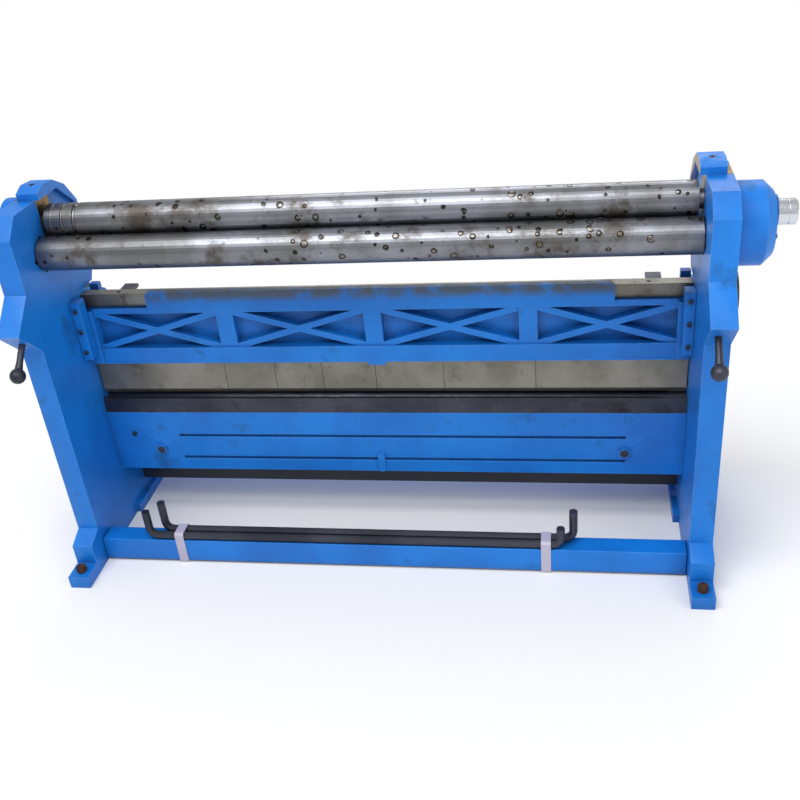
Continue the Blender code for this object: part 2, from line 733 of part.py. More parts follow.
def bearing_cap(side, word):
    """The cap over an upper bearing, which follows the slope at the back of the head."""
    low = HEAD_TOP_Z + SEAT
    slope = HEAD_DEPTH - HEAD_FLAT_DEPTH
    outline = [
        (CAP_FRONT, low),
        (CAP_FRONT, low + CAP_SIDE),
        (CAP_FRONT + CAP_FACE, low + CAP_HEIGHT),
        (CAP_FRONT + CAP_FACE + CAP_TOP_LENGTH, low + CAP_HEIGHT - CAP_TOP_FALL),
        (HEAD_FLAT_DEPTH + CAP_BACK_SHARE * slope, low - CAP_BACK_FALL),
        (HEAD_DEPTH, HEAD_TOP_Z - HEAD_SLOPE_DROP + CAP_TAIL),
        (HEAD_DEPTH, HEAD_TOP_Z - HEAD_SLOPE_DROP + 2 * SEAT),
        (HEAD_FLAT_DEPTH, HEAD_TOP_Z + 2 * SEAT),
        (HEAD_FLAT_DEPTH - CAP_TOP_FALL, low),
    ]
    near = side * (INNER_HALF - CAP_PROUD)
    cap = plate_x(f"{word}_bearing_cap", [outline], near, side * (INNER_HALF + CAP_WIDTH), BLUE)
    middle = side * (INNER_HALF + (CAP_WIDTH - CAP_PROUD) / 2)
    top = low + CAP_HEIGHT
    shank = (middle, CAP_BOLT_Y, low - OVERRUN), (middle, CAP_BOLT_Y, top)
    recess = (middle, CAP_BOLT_Y, top - CAP_RECESS), (middle, CAP_BOLT_Y, top + OVERRUN)
    cut(cap, rod("hole", *shank, CAP_BOLT_RADIUS + SEAT, BLUE))
    cut(cap, rod("recess", *recess, CAP_BOLT_HEAD_RADIUS + RUN, BLUE))
    head_low = top - CAP_RECESS + SEAT
    head_top = head_low + CAP_BOLT_HEAD
    head = (middle, CAP_BOLT_Y, head_low), (middle, CAP_BOLT_Y, head_top)
    body = (middle, CAP_BOLT_Y, low), (middle, CAP_BOLT_Y, head_low + CAP_BOLT_HEAD / 2)
    key = (middle, CAP_BOLT_Y, head_top - HEX_KEY_DEPTH), (middle, CAP_BOLT_Y, head_top + OVERRUN)
    bolt = rod(f"{word}_cap_bolt", *head, CAP_BOLT_HEAD_RADIUS, BLACK)
    join(bolt, rod("shank", *body, CAP_BOLT_RADIUS, BLACK))
    return cut(bolt, rod("key", *key, HEX_KEY_RADIUS, BLACK, HEX_SIDES))


# Rolls, bearings and adjusting screws

def roll(name, centre, setback, left_end, right_end, grooves=()):
    """A roll turned from one bar with its journals; grooves count from the roll's left end."""
    face = INNER_HALF - setback
    profile = [(0.0, right_end), (JOURNAL_RADIUS, right_end), (JOURNAL_RADIUS, face), (ROLL_RADIUS, face)]
    for distance, radius in reversed(grooves):
        middle = distance - face
        for n in range(WIRE_GROOVE_STEPS + 1):
            turn = math.pi * n / WIRE_GROOVE_STEPS
            profile.append((ROLL_RADIUS - radius * math.sin(turn), middle + radius * math.cos(turn)))
    profile += [(ROLL_RADIUS, -face), (JOURNAL_RADIUS, -face), (JOURNAL_RADIUS, -left_end), (0.0, -left_end)]
    return turned(name, profile, (0.0, *centre), TURN_ALONG_X, ROLL_STEEL)


def bearing_block(name, side, centre, way, half, low, high):
    """A bronze block with a bore for a journal: low and high are its ends along its slot."""
    loops = [slanted_box(centre, way, low, high, half), circle(centre, JOURNAL_RADIUS + RUN)]
    return plate_x(name, loops, side * (INNER_HALF + SEAT), side * (OUTER_HALF - SEAT), BRONZE)


def sliding_block(name, side, centre, way, half, radius):
    """A bearing block with the blind hole that its adjusting screw turns in."""
    block = bearing_block(name, side, centre, way, half, -half, half)
    ends = [(side * SCREW_X, *along(centre, way, -reach)) for reach in (half + OVERRUN, half - SCREW_GRIP)]
    return cut(block, rod("hole", *ends, radius + RUN, BRONZE))


def adjusting_screw(name, side, centre, way, half, radius, knob_profile):
    """A screw that hangs in its block and comes out of the frame with a knob at its end."""
    tip = half - SCREW_GRIP + SEAT
    profile = [(0.0, -tip), (radius, -tip)] + knob_profile
    turn = Vector((0.0, *way)).to_track_quat("Z", "Y").to_euler()
    return turned(name, profile, (side * SCREW_X, *centre), turn, BLACK, SMALL_STEPS)


def ball_knob():
    """Profile of the ball on a feed screw, with the short cone that carries it."""
    start = math.asin(FEED_NECK_RADIUS / FEED_KNOB_RADIUS)
    neck = -FEED_KNOB_REACH + FEED_KNOB_RADIUS * math.cos(start)
    profile = [(FEED_SCREW_RADIUS, neck + FEED_KNOB_NECK)]
    for n in range(BALL_STEPS + 1):
        turn = start + (math.pi - start) * n / BALL_STEPS
        radius = FEED_KNOB_RADIUS * math.sin(turn) if n < BALL_STEPS else 0.0
        profile.append((radius, -FEED_KNOB_REACH + FEED_KNOB_RADIUS * math.cos(turn)))
    return profile


def drum_knob():
    """Profile of the plain round knob on a rear screw."""
    end = REAR_KNOB_START + REAR_KNOB_LENGTH
    edge = REAR_KNOB_RADIUS - REAR_KNOB_EDGE
    return [
        (REAR_SCREW_RADIUS, -REAR_KNOB_START),
        (edge, -REAR_KNOB_START),
        (REAR_KNOB_RADIUS, -REAR_KNOB_START - REAR_KNOB_EDGE),
        (REAR_KNOB_RADIUS, -end + REAR_KNOB_EDGE),
        (edge, -end),
        (0.0, -end),
    ]


# Gears, their covers and the drive shaft

def gear_outline(teeth, module, addendum, dedendum, centre, phase):
    """Involute teeth: phase is the angle of one tooth's middle."""
    pitch = module * teeth / 2
    base = pitch * math.cos(PRESSURE_ANGLE)
    tip = pitch + addendum
    root = pitch - dedendum
    half = math.pi * TOOTH_SHARE / teeth + math.tan(PRESSURE_ANGLE) - PRESSURE_ANGLE
    start = max(base, root)
    flank = []
    for n in range(FLANK_POINTS):
        radius = start + (tip - start) * n / (FLANK_POINTS - 1)
        roll_angle = math.acos(min(1.0, base / radius))
        flank.append((radius, half - math.tan(roll_angle) + roll_angle))
    tooth = [(root, -half)] + [(radius, -angle) for radius, angle in flank]
    tooth += [(radius, angle) for radius, angle in reversed(flank)] + [(root, half)]
    points = []
    for n in range(teeth):
        middle = phase + 2 * math.pi * n / teeth
        points += [along(centre, (math.cos(middle + a), math.sin(middle + a)), r) for r, a in tooth]
    return points


def roll_gear(name, centre, phase):
    """One of the pair of gears that turn the two feed rolls together."""
    outline = gear_outline(ROLL_GEAR_TEETH, ROLL_MODULE, ROLL_ADDENDUM, ROLL_DEDENDUM, centre, phase)
    loops = [outline, circle(centre, JOURNAL_RADIUS + SEAT)]
    return plate_x(name, loops, -OUTER_HALF - GEAR_OFF, -GEAR_END, TOOL_STEEL)


def drive_gear():
    """The gear on the lower roll that the drive shaft's pinion turns."""
    outline = gear_outline(
        DRIVE_GEAR_TEETH, DRIVE_MODULE, DRIVE_ADDENDUM, DRIVE_DEDENDUM, LOWER_ROLL, DRIVE_ANGLE
    )
    loops = [outline, circle(LOWER_ROLL, JOURNAL_RADIUS + SEAT)]
    return plate_x("lower_roll_drive_gear", loops, OUTER_HALF + GEAR_OFF, GEAR_END, TOOL_STEEL)


def drive_shaft():
    """The stub that takes the crank, with the pinion cut on its inner end."""
    body = HOUSING_REACH + BOSS_PROUD - BOSS_LENGTH
    groove = DRIVE_REACH - DRIVE_GROOVE
    inner = DRIVE_RADIUS - DRIVE_GROOVE_DEPTH
    profile = [
        (0.0, DRIVE_REACH),
        (DRIVE_RADIUS - DRIVE_CHAMFER, DRIVE_REACH),
        (DRIVE_RADIUS, DRIVE_REACH - DRIVE_CHAMFER),
        (DRIVE_RADIUS, groove),
        (inner, groove),
        (inner, groove - DRIVE_GROOVE_WIDTH),
        (DRIVE_RADIUS, groove - DRIVE_GROOVE_WIDTH),
        (DRIVE_RADIUS, body),
        (DRIVE_NECK_RADIUS, body),
        (DRIVE_NECK_RADIUS, GEAR_OFF / 2),
        (0.0, GEAR_OFF / 2),
    ]
    shaft = turned("drive_shaft", profile, (OUTER_HALF, *DRIVE), TURN_ALONG_X, BRIGHT_STEEL)
    phase = DRIVE_ANGLE + math.pi + math.pi / PINION_TEETH
    outline = gear_outline(PINION_TEETH, DRIVE_MODULE, DRIVE_ADDENDUM, DRIVE_DEDENDUM, DRIVE, phase)
    return join(shaft, plate_x("pinion", [outline], OUTER_HALF + GEAR_OFF, GEAR_END, BRIGHT_STEEL))


def gear_housing():
    """A cup on the right frame with a bearing boss for the drive shaft."""
    end = HOUSING_REACH - HOUSING_END_WALL
    inner = HOUSING_RADIUS - HOUSING_WALL
    profile = [
        (0.0, HOUSING_REACH),
        (HOUSING_RADIUS - HOUSING_CHAMFER, HOUSING_REACH),
        (HOUSING_RADIUS, HOUSING_REACH - HOUSING_CHAMFER),
        (HOUSING_RADIUS, SEAT),
        (inner, SEAT),
        (inner, end - HOUSING_CHAMFER),
        (inner - HOUSING_CHAMFER, end),
        (0.0, end),
    ]
    at = (OUTER_HALF, HOUSING_Y, HOUSING_Z)
    housing = turned("gear_housing", profile, at, TURN_ALONG_X, BLUE)
    outer = OUTER_HALF + HOUSING_REACH + BOSS_PROUD
    inner_end = outer - BOSS_LENGTH + SEAT
    join(housing, rod("boss", (inner_end, *DRIVE), (outer, *DRIVE), BOSS_RADIUS, BLUE, TURN_STEPS))
    ends = (inner_end - OVERRUN, *DRIVE), (outer + OVERRUN, *DRIVE)
    return cut(housing, rod("hole", *ends, DRIVE_RADIUS + RUN, BLUE, TURN_STEPS))


def gear_cover():
    """The cover over the two roll gears on the left frame: a shallow box with round ends."""

    def obround(radius):
        quarter = math.pi / 2
        low = arc(LOWER_ROLL, radius, FEED_ANGLE + quarter, FEED_ANGLE + 3 * quarter, SMALL_STEPS)
        high = arc(UPPER_ROLL, radius, FEED_ANGLE - quarter, FEED_ANGLE + quarter, SMALL_STEPS)
        return low + high

    out = OUTER_HALF + COVER_REACH
    cover = plate_x("gear_cover", [obround(COVER_RADIUS)], -out, -OUTER_HALF - SEAT, BLUE)
    hollow = [obround(COVER_RADIUS - COVER_WALL)]
    return cut(cover, plate_x("hollow", hollow, COVER_WALL - out, OVERRUN - OUTER_HALF, BLUE))


# Ram with its finger dies and upper blade

def cross_pockets(left, right, low, high):
    """The four triangular pockets that leave two crossed ribs between them."""
    middle_x = (left + right) / 2
    middle_z = (low + high) / 2
    slope = math.atan2(high - low, right - left)
    side_gap = CROSS_WIDTH / 2 / math.sin(slope)
    end_gap = CROSS_WIDTH / 2 / math.cos(slope)
    return [
        [(left + side_gap, low), (right - side_gap, low), (middle_x, middle_z - end_gap)],
        [(right - side_gap, high), (left + side_gap, high), (middle_x, middle_z + end_gap)],
        [(left, high - end_gap), (left, low + end_gap), (middle_x - side_gap, middle_z)],
        [(right, low + end_gap), (right, high - end_gap), (middle_x + side_gap, middle_z)],
    ]


def ram_front():
    """The layer of the ram before its web: outline and pockets between posts and crossed ribs."""
    top = RAM_SHELF_Z - SEAT
    pitch = 2 * INNER_HALF / RAM_BAYS
    loops = [[(-RAM_HALF, RAM_LOW_Z), (RAM_HALF, RAM_LOW_Z), (RAM_HALF, top), (-RAM_HALF, top)]]
    for bay in range(RAM_BAYS):
        left_width = LUG_WIDTH if bay == 0 else POST_WIDTH / 2
        right_width = LUG_WIDTH if bay == RAM_BAYS - 1 else POST_WIDTH / 2
        left = from_left(pitch * bay) + left_width
        right = from_left(pitch * (bay + 1)) - right_width
        loops += cross_pockets(left, right, RAM_LOW_Z + RAM_FLANGE, top - RAM_SHELF)
    return plate_y("ram_beam", loops, RIB_FRONT, RAM_WEB_FRONT + RIB_OVERLAP, BLUE)


def ram_beam():
    """The cast upper beam: web, flanges, posts, crossed ribs, end lugs and the blade's apron."""
    top = RAM_SHELF_Z - SEAT
    beam = ram_front()
    web = box("web", (-RAM_HALF, RAM_WEB_FRONT, RAM_LOW_Z), (RAM_HALF, RAM_BACK, top), BLUE)
    flange_top = RAM_LOW_Z + RAM_FLANGE
    flange_end = (RAM_HALF, RIB_FRONT + RIB_OVERLAP, flange_top)
    flange = box("flange", (-RAM_HALF, RAM_FLANGE_FRONT, RAM_LOW_Z), flange_end, BLUE)
    tab_low = RAM_LOW_Z - RAM_TAB_DROP
    tab = box(
        "tab",
        (-POST_WIDTH / 2, RAM_FLANGE_FRONT, tab_low),
        (POST_WIDTH / 2, RIB_FRONT - SEAT, flange_top - RIB_OVERLAP),
        BLUE,
    )
    join(beam, web, flange, tab)
    for side in (-1, 1):
        start = (side * (RAM_HALF - LUG_WIDTH), LUG_FRONT, LUG_LOW_Z)
        join(beam, box("lug", start, (side * RAM_HALF, LUG_FRONT + LUG_DEPTH, top), BLUE))
    left = from_left(LIP_LEFT)
    right = from_right(LIP_RIGHT)
    lip_low = RAM_SHELF_Z - RAM_SHELF + RIB_OVERLAP
    shoulder = RAM_SHELF_Z + TOP_BAR_HEIGHT
    lip = [
        (left - LIP_SLOPE, lip_low),
        (right + LIP_SLOPE, lip_low),
        (right + LIP_SLOPE, shoulder),
        (right, LIP_TOP_Z),
        (left, LIP_TOP_Z),
        (left - LIP_SLOPE, shoulder),
    ]
    join(beam, plate_y("lip", [lip], LIP_FRONT, LIP_FRONT + LIP_THICK, BLUE))
    return join(beam, *apron())


def apron():
    """The shelf, drop plate and gussets behind the ram that carry the upper shear blade."""
    half = RAM_HALF - APRON_INSET
    start = RAM_BACK - RIB_OVERLAP
    end = UPPER_BLADE_FRONT - SEAT
    shelf_top = RAM_LOW_Z + APRON_HEIGHT
    plate_front = end - APRON_THICK
    shelf = box("shelf", (-half, start, shelf_top - APRON_THICK), (half, end, shelf_top), BLUE)
    drop_end = (half, end, shelf_top - RIB_OVERLAP)
    drop = box("drop", (-half, plate_front, APRON_LOW_Z), drop_end, BLUE)
    pieces = [shelf, drop]
    for n in range(APRON_GUSSETS):
        middle = half * (2 * n / (APRON_GUSSETS - 1) - 1)
        middle -= math.copysign(GUSSET_THICK, middle) if n in (0, APRON_GUSSETS - 1) else 0.0
        outline = [
            (start, RAM_LOW_Z + RIB_OVERLAP),
            (plate_front + RIB_OVERLAP, APRON_LOW_Z + APRON_THICK),
            (plate_front + RIB_OVERLAP, shelf_top - RIB_OVERLAP),
            (start, shelf_top - RIB_OVERLAP),
        ]
        near = middle - GUSSET_THICK / 2
        pieces.append(plate_x("gusset", [outline], near, near + GUSSET_THICK, BLUE))
    return pieces


def ram_top_bar():
    """The ground steel bar that sits on the ram's shelf behind the lip."""
    low = (-RAM_HALF, LIP_FRONT + LIP_THICK + SEAT, RAM_SHELF_Z)
    return box("ram_top_bar", low, (RAM_HALF, RAM_BACK, RAM_SHELF_Z + TOP_BAR_HEIGHT), DIE_STEEL)


def finger_dies():
    """The removable bending fingers, side by side under the ram's lower flange."""
    top = RAM_LOW_Z - SEAT
    back = RIB_FRONT + FINGER_DEPTH
    tip = RIB_FRONT + FINGER_TIP_SETBACK
    bevel = FINGER_TIP_Z + FINGER_BEVEL
    outline = [
        (RIB_FRONT, top),
        (RIB_FRONT, bevel),
        (tip, FINGER_TIP_Z),
        (tip + FINGER_TIP_WIDTH, FINGER_TIP_Z),
        (back, bevel),
        (back, top),
    ]
    seams = [from_left(place_x) for place_x in FINGER_SEAMS]
    seams.append(from_right(FINGER_END))
    for number, (left, right) in enumerate(zip(seams, seams[1:]), start=1):
        plate_x(f"finger_die_{number}", [outline], left + SEAT / 2, right - SEAT / 2, DIE_STEEL)


def upper_shear_blade():
    """The ram's shear blade, whose edge rises from the left end to the right."""
    half = RAM_HALF - BLADE_INSET - GIB_WIDTH
    outline = [
        (-half, UPPER_BLADE_LOW_Z),
        (half, UPPER_BLADE_LOW_Z + UPPER_BLADE_RAKE),
        (half, UPPER_BLADE_TOP_Z),
        (-half, UPPER_BLADE_TOP_Z),
    ]
    back = UPPER_BLADE_FRONT + BLADE_THICK
    return plate_y("upper_shear_blade", [outline], UPPER_BLADE_FRONT, back, TOOL_STEEL)


# Bed with its die, blade and table, and the ram's guides

def bed_beam():
    """The cast bed: top plate, front apron with two grooves and rear web."""
    top = BED_TOP_Z - SEAT
    under = top - BED_TOP_PLATE
    outline = [
        (BED_FRONT, top),
        (BED_FRONT, BED_APRON_LOW_Z),
        (BED_FRONT + BED_APRON, BED_APRON_LOW_Z),
        (BED_FRONT + BED_APRON, under),
        (BED_BACK - BED_WEB, under),
        (BED_BACK - BED_WEB, BED_WEB_LOW_Z),
        (BED_BACK, BED_WEB_LOW_Z),
        (BED_BACK, top),
    ]
    bed = plate_x("bed_beam", [outline], -BED_HALF, BED_HALF, BLUE)
    for height in BED_GROOVES_Z:
        start = (from_left(BED_GROOVE_LEFT), BED_FRONT - OVERRUN, height - BED_GROOVE_WIDTH / 2)
        end = (from_right(BED_GROOVE_RIGHT), BED_FRONT + BED_GROOVE_DEPTH, height + BED_GROOVE_WIDTH / 2)
        cut(bed, box("groove", start, end, BLUE))
    for x in (from_left(BED_BOSS_LEFT), from_right(BED_BOSS_RIGHT)):
        ends = (x, BED_FRONT - BED_BOSS_PROUD, BED_BOSS_Z), (x, BED_FRONT + BED_APRON / 2, BED_BOSS_Z)
        join(bed, rod("boss", *ends, BED_BOSS_RADIUS, BLUE))
    return join(bed, jack_stud())


def jack_stud():
    """The oval stud at the middle of the bed's front."""
    x = -JACK_OFFSET
    low = arc((x, JACK_LOW_Z + JACK_RADIUS), JACK_RADIUS, -math.pi, 0.0, SMALL_STEPS // 2)
    high = arc((x, JACK_HIGH_Z - JACK_RADIUS), JACK_RADIUS, 0.0, math.pi, SMALL_STEPS // 2)
    return plate_y("stud", [low + high], BED_FRONT - JACK_PROUD, BED_FRONT + BED_APRON / 2, BLUE)


def vee_die():
    outline = [
        (BED_FRONT, BED_TOP_Z),
        (BED_FRONT + DIE_DEPTH, BED_TOP_Z),
        (BED_FRONT + DIE_DEPTH, DIE_TOP_Z),
        (VEE_Y + VEE_HALF, DIE_TOP_Z),
        (VEE_Y, DIE_TOP_Z - VEE_HALF),
        (VEE_Y - VEE_HALF, DIE_TOP_Z),
        (BED_FRONT, DIE_TOP_Z),
    ]
    return plate_x("vee_die", [outline], -BED_HALF, BED_HALF, TOOL_STEEL)


def lower_shear_blade():
    start = (-BED_HALF, LOWER_BLADE_FRONT, BED_TOP_Z)
    end = (BED_HALF, LOWER_BLADE_FRONT + BLADE_THICK, LOWER_BLADE_TOP_Z)
    return box("lower_shear_blade", start, end, TOOL_STEEL)


def shear_table():
    """The table behind the lower blade, with its foot against the bed and gussets below."""
    front = BED_BACK + SEAT
    under = LOWER_BLADE_TOP_Z - TABLE_THICK
    outline = [
        (front, LOWER_BLADE_TOP_Z),
        (front, TABLE_LEG_LOW_Z),
        (front + TABLE_LEG, TABLE_LEG_LOW_Z),
        (front + TABLE_LEG, under),
        (TABLE_BACK, under),
        (TABLE_BACK, LOWER_BLADE_TOP_Z),
    ]
    table = plate_x("shear_table", [outline], -BED_HALF, BED_HALF, BLUE)
    gusset = [
        (front + TABLE_LEG - RIB_OVERLAP, under + RIB_OVERLAP),
        (front + TABLE_LEG - RIB_OVERLAP, TABLE_LEG_LOW_Z + TABLE_LEG),
        (TABLE_BACK - TABLE_LEG, under + RIB_OVERLAP),
    ]
    for n in range(TABLE_GUSSETS):
        middle = BED_HALF * (2 * n + 1 - TABLE_GUSSETS) / TABLE_GUSSETS
        near = middle - GUSSET_THICK / 2
        join(table, plate_x("gusset", [gusset], near, near + GUSSET_THICK, BLUE))
    return table


def gibs(side, word):
    """The bars that guide one end of the ram, before it and behind it."""
    inner = side * (INNER_HALF - SEAT - GIB_WIDTH)
    outer = side * (INNER_HALF - SEAT)
    front = LUG_FRONT - RUN
    back = LUG_FRONT + LUG_DEPTH + RUN
    box(f"{word}_front_gib", (inner, front - FRONT_GIB_DEPTH, GIB_LOW_Z), (outer, front, GIB_TOP_Z), BLUE)
    box(f"{word}_rear_gib", (inner, back, GIB_LOW_Z), (outer, back + REAR_GIB_DEPTH, GIB_TOP_Z), BLUE)


# Eccentric shaft with its bushes, strap blocks and lever hubs

def eccentric_shaft():
    """The shaft from hub to hub with its two eccentrics."""
    end = HUB_OUT - HUB_DISH
    profile = [(0.0, end), (ECC_SHAFT_RADIUS, end), (ECC_SHAFT_RADIUS, -end), (0.0, -end)]
    shaft = turned("eccentric_shaft", profile, (0.0, *ECC), TURN_ALONG_X, BRIGHT_STEEL)
    for side in (-1, 1):
        outline = circle((ECC_Y - ECC_THROW, ECC_Z), ECC_RADIUS)
        near = side * ECC_X - ECC_WIDTH / 2
        join(shaft, plate_x("eccentric", [outline], near, near + ECC_WIDTH, BRIGHT_STEEL))
    return shaft


def shaft_bush(side, word):
    loops = [circle(ECC, BUSH_RADIUS), circle(ECC, BORE_RADIUS)]
    near = side * (INNER_HALF + SEAT)
    return plate_x(f"{word}_shaft_bush", loops, near, side * (OUTER_HALF - SEAT), BRONZE)


def eccentric_strap(side, word):
    """The fork on the ram's back that an eccentric works in, open to the rear."""
    front = RAM_BACK + SEAT
    wall = ECC_Y - ECC_THROW - ECC_RADIUS - STRAP_FRONT_PLAY
    half = ECC_RADIUS + STRAP_SIDE_PLAY
    outer = half + STRAP_WALL
    outline = [
        (front, ECC_Z - outer),
        (STRAP_BACK, ECC_Z - outer),
        (STRAP_BACK, ECC_Z - half),
        (wall, ECC_Z - half),
        (wall, ECC_Z + half),
        (STRAP_BACK, ECC_Z + half),
        (STRAP_BACK, ECC_Z + outer),
        (front, ECC_Z + outer),
    ]
    near = side * ECC_X - STRAP_BLOCK_WIDTH / 2
    return plate_x(f"{word}_eccentric_strap", [outline], near, near + STRAP_BLOCK_WIDTH, TOOL_STEEL)


def lever_hub(side, word):
    """The round hub on the shaft's end, with sockets for the operating bars."""
    inner = HUB_OUT - HUB_WIDTH
    bore = ECC_SHAFT_RADIUS + SEAT
    rim = []
    for n in range(HUB_ROUND_STEPS + 1):
        turn = math.pi / 2 * (1 - n / HUB_ROUND_STEPS)
        inward = HUB_ROUND * (1 - math.cos(turn))
        rim.append((HUB_RADIUS - inward, HUB_OUT - HUB_ROUND * (1 - math.sin(turn))))
    dish = [
        (bore, HUB_OUT - HUB_DISH),
        (HUB_RADIUS - HUB_ROUND - HUB_RIM, HUB_OUT - HUB_DISH),
        (HUB_RADIUS - HUB_ROUND - HUB_RIM + HUB_DISH, HUB_OUT),
    ]
    profile = dish + rim + [(HUB_RADIUS, inner), (bore, inner)]
    if side < 0:
        profile = [(radius, -height) for radius, height in reversed(profile)]
    hub = turned(f"{word}_lever_hub", profile, (0.0, *ECC), TURN_ALONG_X, DARK_CASTING, closed=True)
    middle = side * (inner + HUB_OUT) / 2
    for angle in SOCKET_ANGLES:
        way = (math.cos(angle), math.sin(angle))
        reaches = (HUB_RADIUS - SOCKET_DEPTH, HUB_RADIUS + OVERRUN)
        ends = [(middle, *along(ECC, way, reach)) for reach in reaches]
        cut(hub, rod("socket", *ends, SOCKET_RADIUS, BLUE))
    return hub


# Tie bars, operating bars and bands

def tie_bar(name, front, low):
    """A square tube between the frames."""
    back = front + TIE_DEPTH
    high = low + TIE_HEIGHT
    outer = [(front, low), (back, low), (back, high), (front, high)]
    inner = [
        (front + TIE_WALL, low + TIE_WALL),
        (back - TIE_WALL, low + TIE_WALL),
        (back - TIE_WALL, high - TIE_WALL),
        (front + TIE_WALL, high - TIE_WALL),
    ]
    return plate_x(name, [outer, inner], -BED_HALF, BED_HALF, BLUE)


def operating_bar(name, y, places, tops):
    """A lever bar that lies on the front tie bar, with both ends bent up."""
    left = from_left(places[0])
    right = from_right(places[1])
    quarter = math.pi / 2
    left_bend = arc((left + BAR_BEND, BAR_Z + BAR_BEND), BAR_BEND, 2 * quarter, 3 * quarter, BAR_BEND_STEPS)
    right_bend = arc((right - BAR_BEND, BAR_Z + BAR_BEND), BAR_BEND, -quarter, 0.0, BAR_BEND_STEPS)
    path = [(left, tops[0]), *left_bend, *right_bend, (right, tops[1])]
    curve = bpy.data.curves.new(name, "CURVE")
    curve.dimensions = "3D"
    curve.bevel_depth = BAR_RADIUS
    curve.bevel_resolution = BAR_ROUND_STEPS
    curve.use_fill_caps = True
    spline = curve.splines.new("POLY")
    spline.points.add(len(path) - 1)
    for point, (x, z) in zip(spline.points, path):
        point.co = (x, 0.0, z, 1.0)
    made = bpy.data.objects.new(name, closed_curve_mesh(name, curve))
    return place(made, BLACK, (0.0, y, 0.0))


def band(name, start):
    """A packing band round the front tie bar and the two operating bars."""
    bar_front = FRONT_BAR_Y - BAR_RADIUS
    bar_back = REAR_BAR_Y + BAR_RADIUS

    def loop(off):
        front = TIE_FRONT - SEAT - off
        back = TIE_FRONT + TIE_DEPTH + SEAT + off
        low = TIE_LOW_Z - SEAT - off
        high = BAR_Z + BAR_RADIUS + SEAT + off
        return [
            (front, low),
            (back, low),
            (back, TIE_LOW_Z + TIE_HEIGHT),
            (bar_back + SEAT + off, high - BAND_SHOULDER),
            (bar_back - BAND_SHOULDER, high),
            (bar_front + BAND_SHOULDER, high),
            (front, high - BAND_SHOULDER),
        ]

    return plate_x(name, [loop(BAND_THICK), loop(0.0)], start, start + BAND_WIDTH, BAND)


# The machine

def build_side(side, word):
    """Everything that one side frame carries."""
    side_frame(side, word)
    anchor_bolt(f"{word}_front_anchor_bolt", side, -FOOT_REACH + ANCHOR_INSET)
    anchor_bolt(f"{word}_rear_anchor_bolt", side, BASE_DEPTH - ANCHOR_INSET)
    bearing_cap(side, word)
    top = HEAD_TOP_Z - UPPER_ROLL[1]
    bearing_block(
        f"{word}_upper_bearing", side, UPPER_ROLL, UP_WAY, UPPER_BLOCK_HALF, -UPPER_BLOCK_DROP, top
    )
    sliding_block(
        f"{word}_lower_bearing", side, LOWER_ROLL, FEED_WAY, FEED_BLOCK_HALF, FEED_SCREW_RADIUS
    )
    sliding_block(
        f"{word}_rear_bearing", side, REAR_ROLL, REAR_WAY, REAR_BLOCK_HALF, REAR_SCREW_RADIUS
    )
    adjusting_screw(
        f"{word}_lower_screw", side, LOWER_ROLL, FEED_WAY, FEED_BLOCK_HALF, FEED_SCREW_RADIUS, ball_knob()
    )
    adjusting_screw(
        f"{word}_rear_screw", side, REAR_ROLL, REAR_WAY, REAR_BLOCK_HALF, REAR_SCREW_RADIUS, drum_knob()
    )
    gibs(side, word)
    shaft_bush(side, word)
    eccentric_strap(side, word)
    lever_hub(side, word)


def build():
    for side, word in ((-1, "left"), (1, "right")):
        build_side(side, word)

    in_frame = OUTER_HALF - SEAT
    roll("upper_roll", UPPER_ROLL, UPPER_ROLL_SETBACK, JOURNAL_END, in_frame, WIRE_GROOVES)
    roll("lower_roll", LOWER_ROLL, LOWER_ROLL_SETBACK, JOURNAL_END, JOURNAL_END)
    roll("rear_roll", REAR_ROLL, REAR_ROLL_SETBACK, in_frame, in_frame)
    roll_gear("lower_roll_gear", LOWER_ROLL, FEED_ANGLE)
    roll_gear("upper_roll_gear", UPPER_ROLL, FEED_ANGLE + math.pi + math.pi / ROLL_GEAR_TEETH)
    drive_gear()
    drive_shaft()
    gear_housing()
    gear_cover()

    ram_beam()
    ram_top_bar()
    finger_dies()
    upper_shear_blade()
    eccentric_shaft()
    bed_beam()
    vee_die()
    lower_shear_blade()
    shear_table()

    tie_bar("front_tie_bar", TIE_FRONT, TIE_LOW_Z)
    tie_bar("rear_tie_bar", REAR_TIE_FRONT, REAR_TIE_LOW_Z)
    operating_bar("front_operating_bar", FRONT_BAR_Y, FRONT_BAR_PLACES, FRONT_BAR_TOPS_Z)
    operating_bar("rear_operating_bar", REAR_BAR_Y, REAR_BAR_PLACES, REAR_BAR_TOPS_Z)
    band("left_packing_band", from_left(BAND_PLACES[0]))
    band("right_packing_band", from_right(BAND_PLACES[1]))


build()
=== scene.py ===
import json
import math

import bmesh
import bpy
import numpy as np
from mathutils import Matrix, Vector
from mathutils.bvhtree import BVHTree


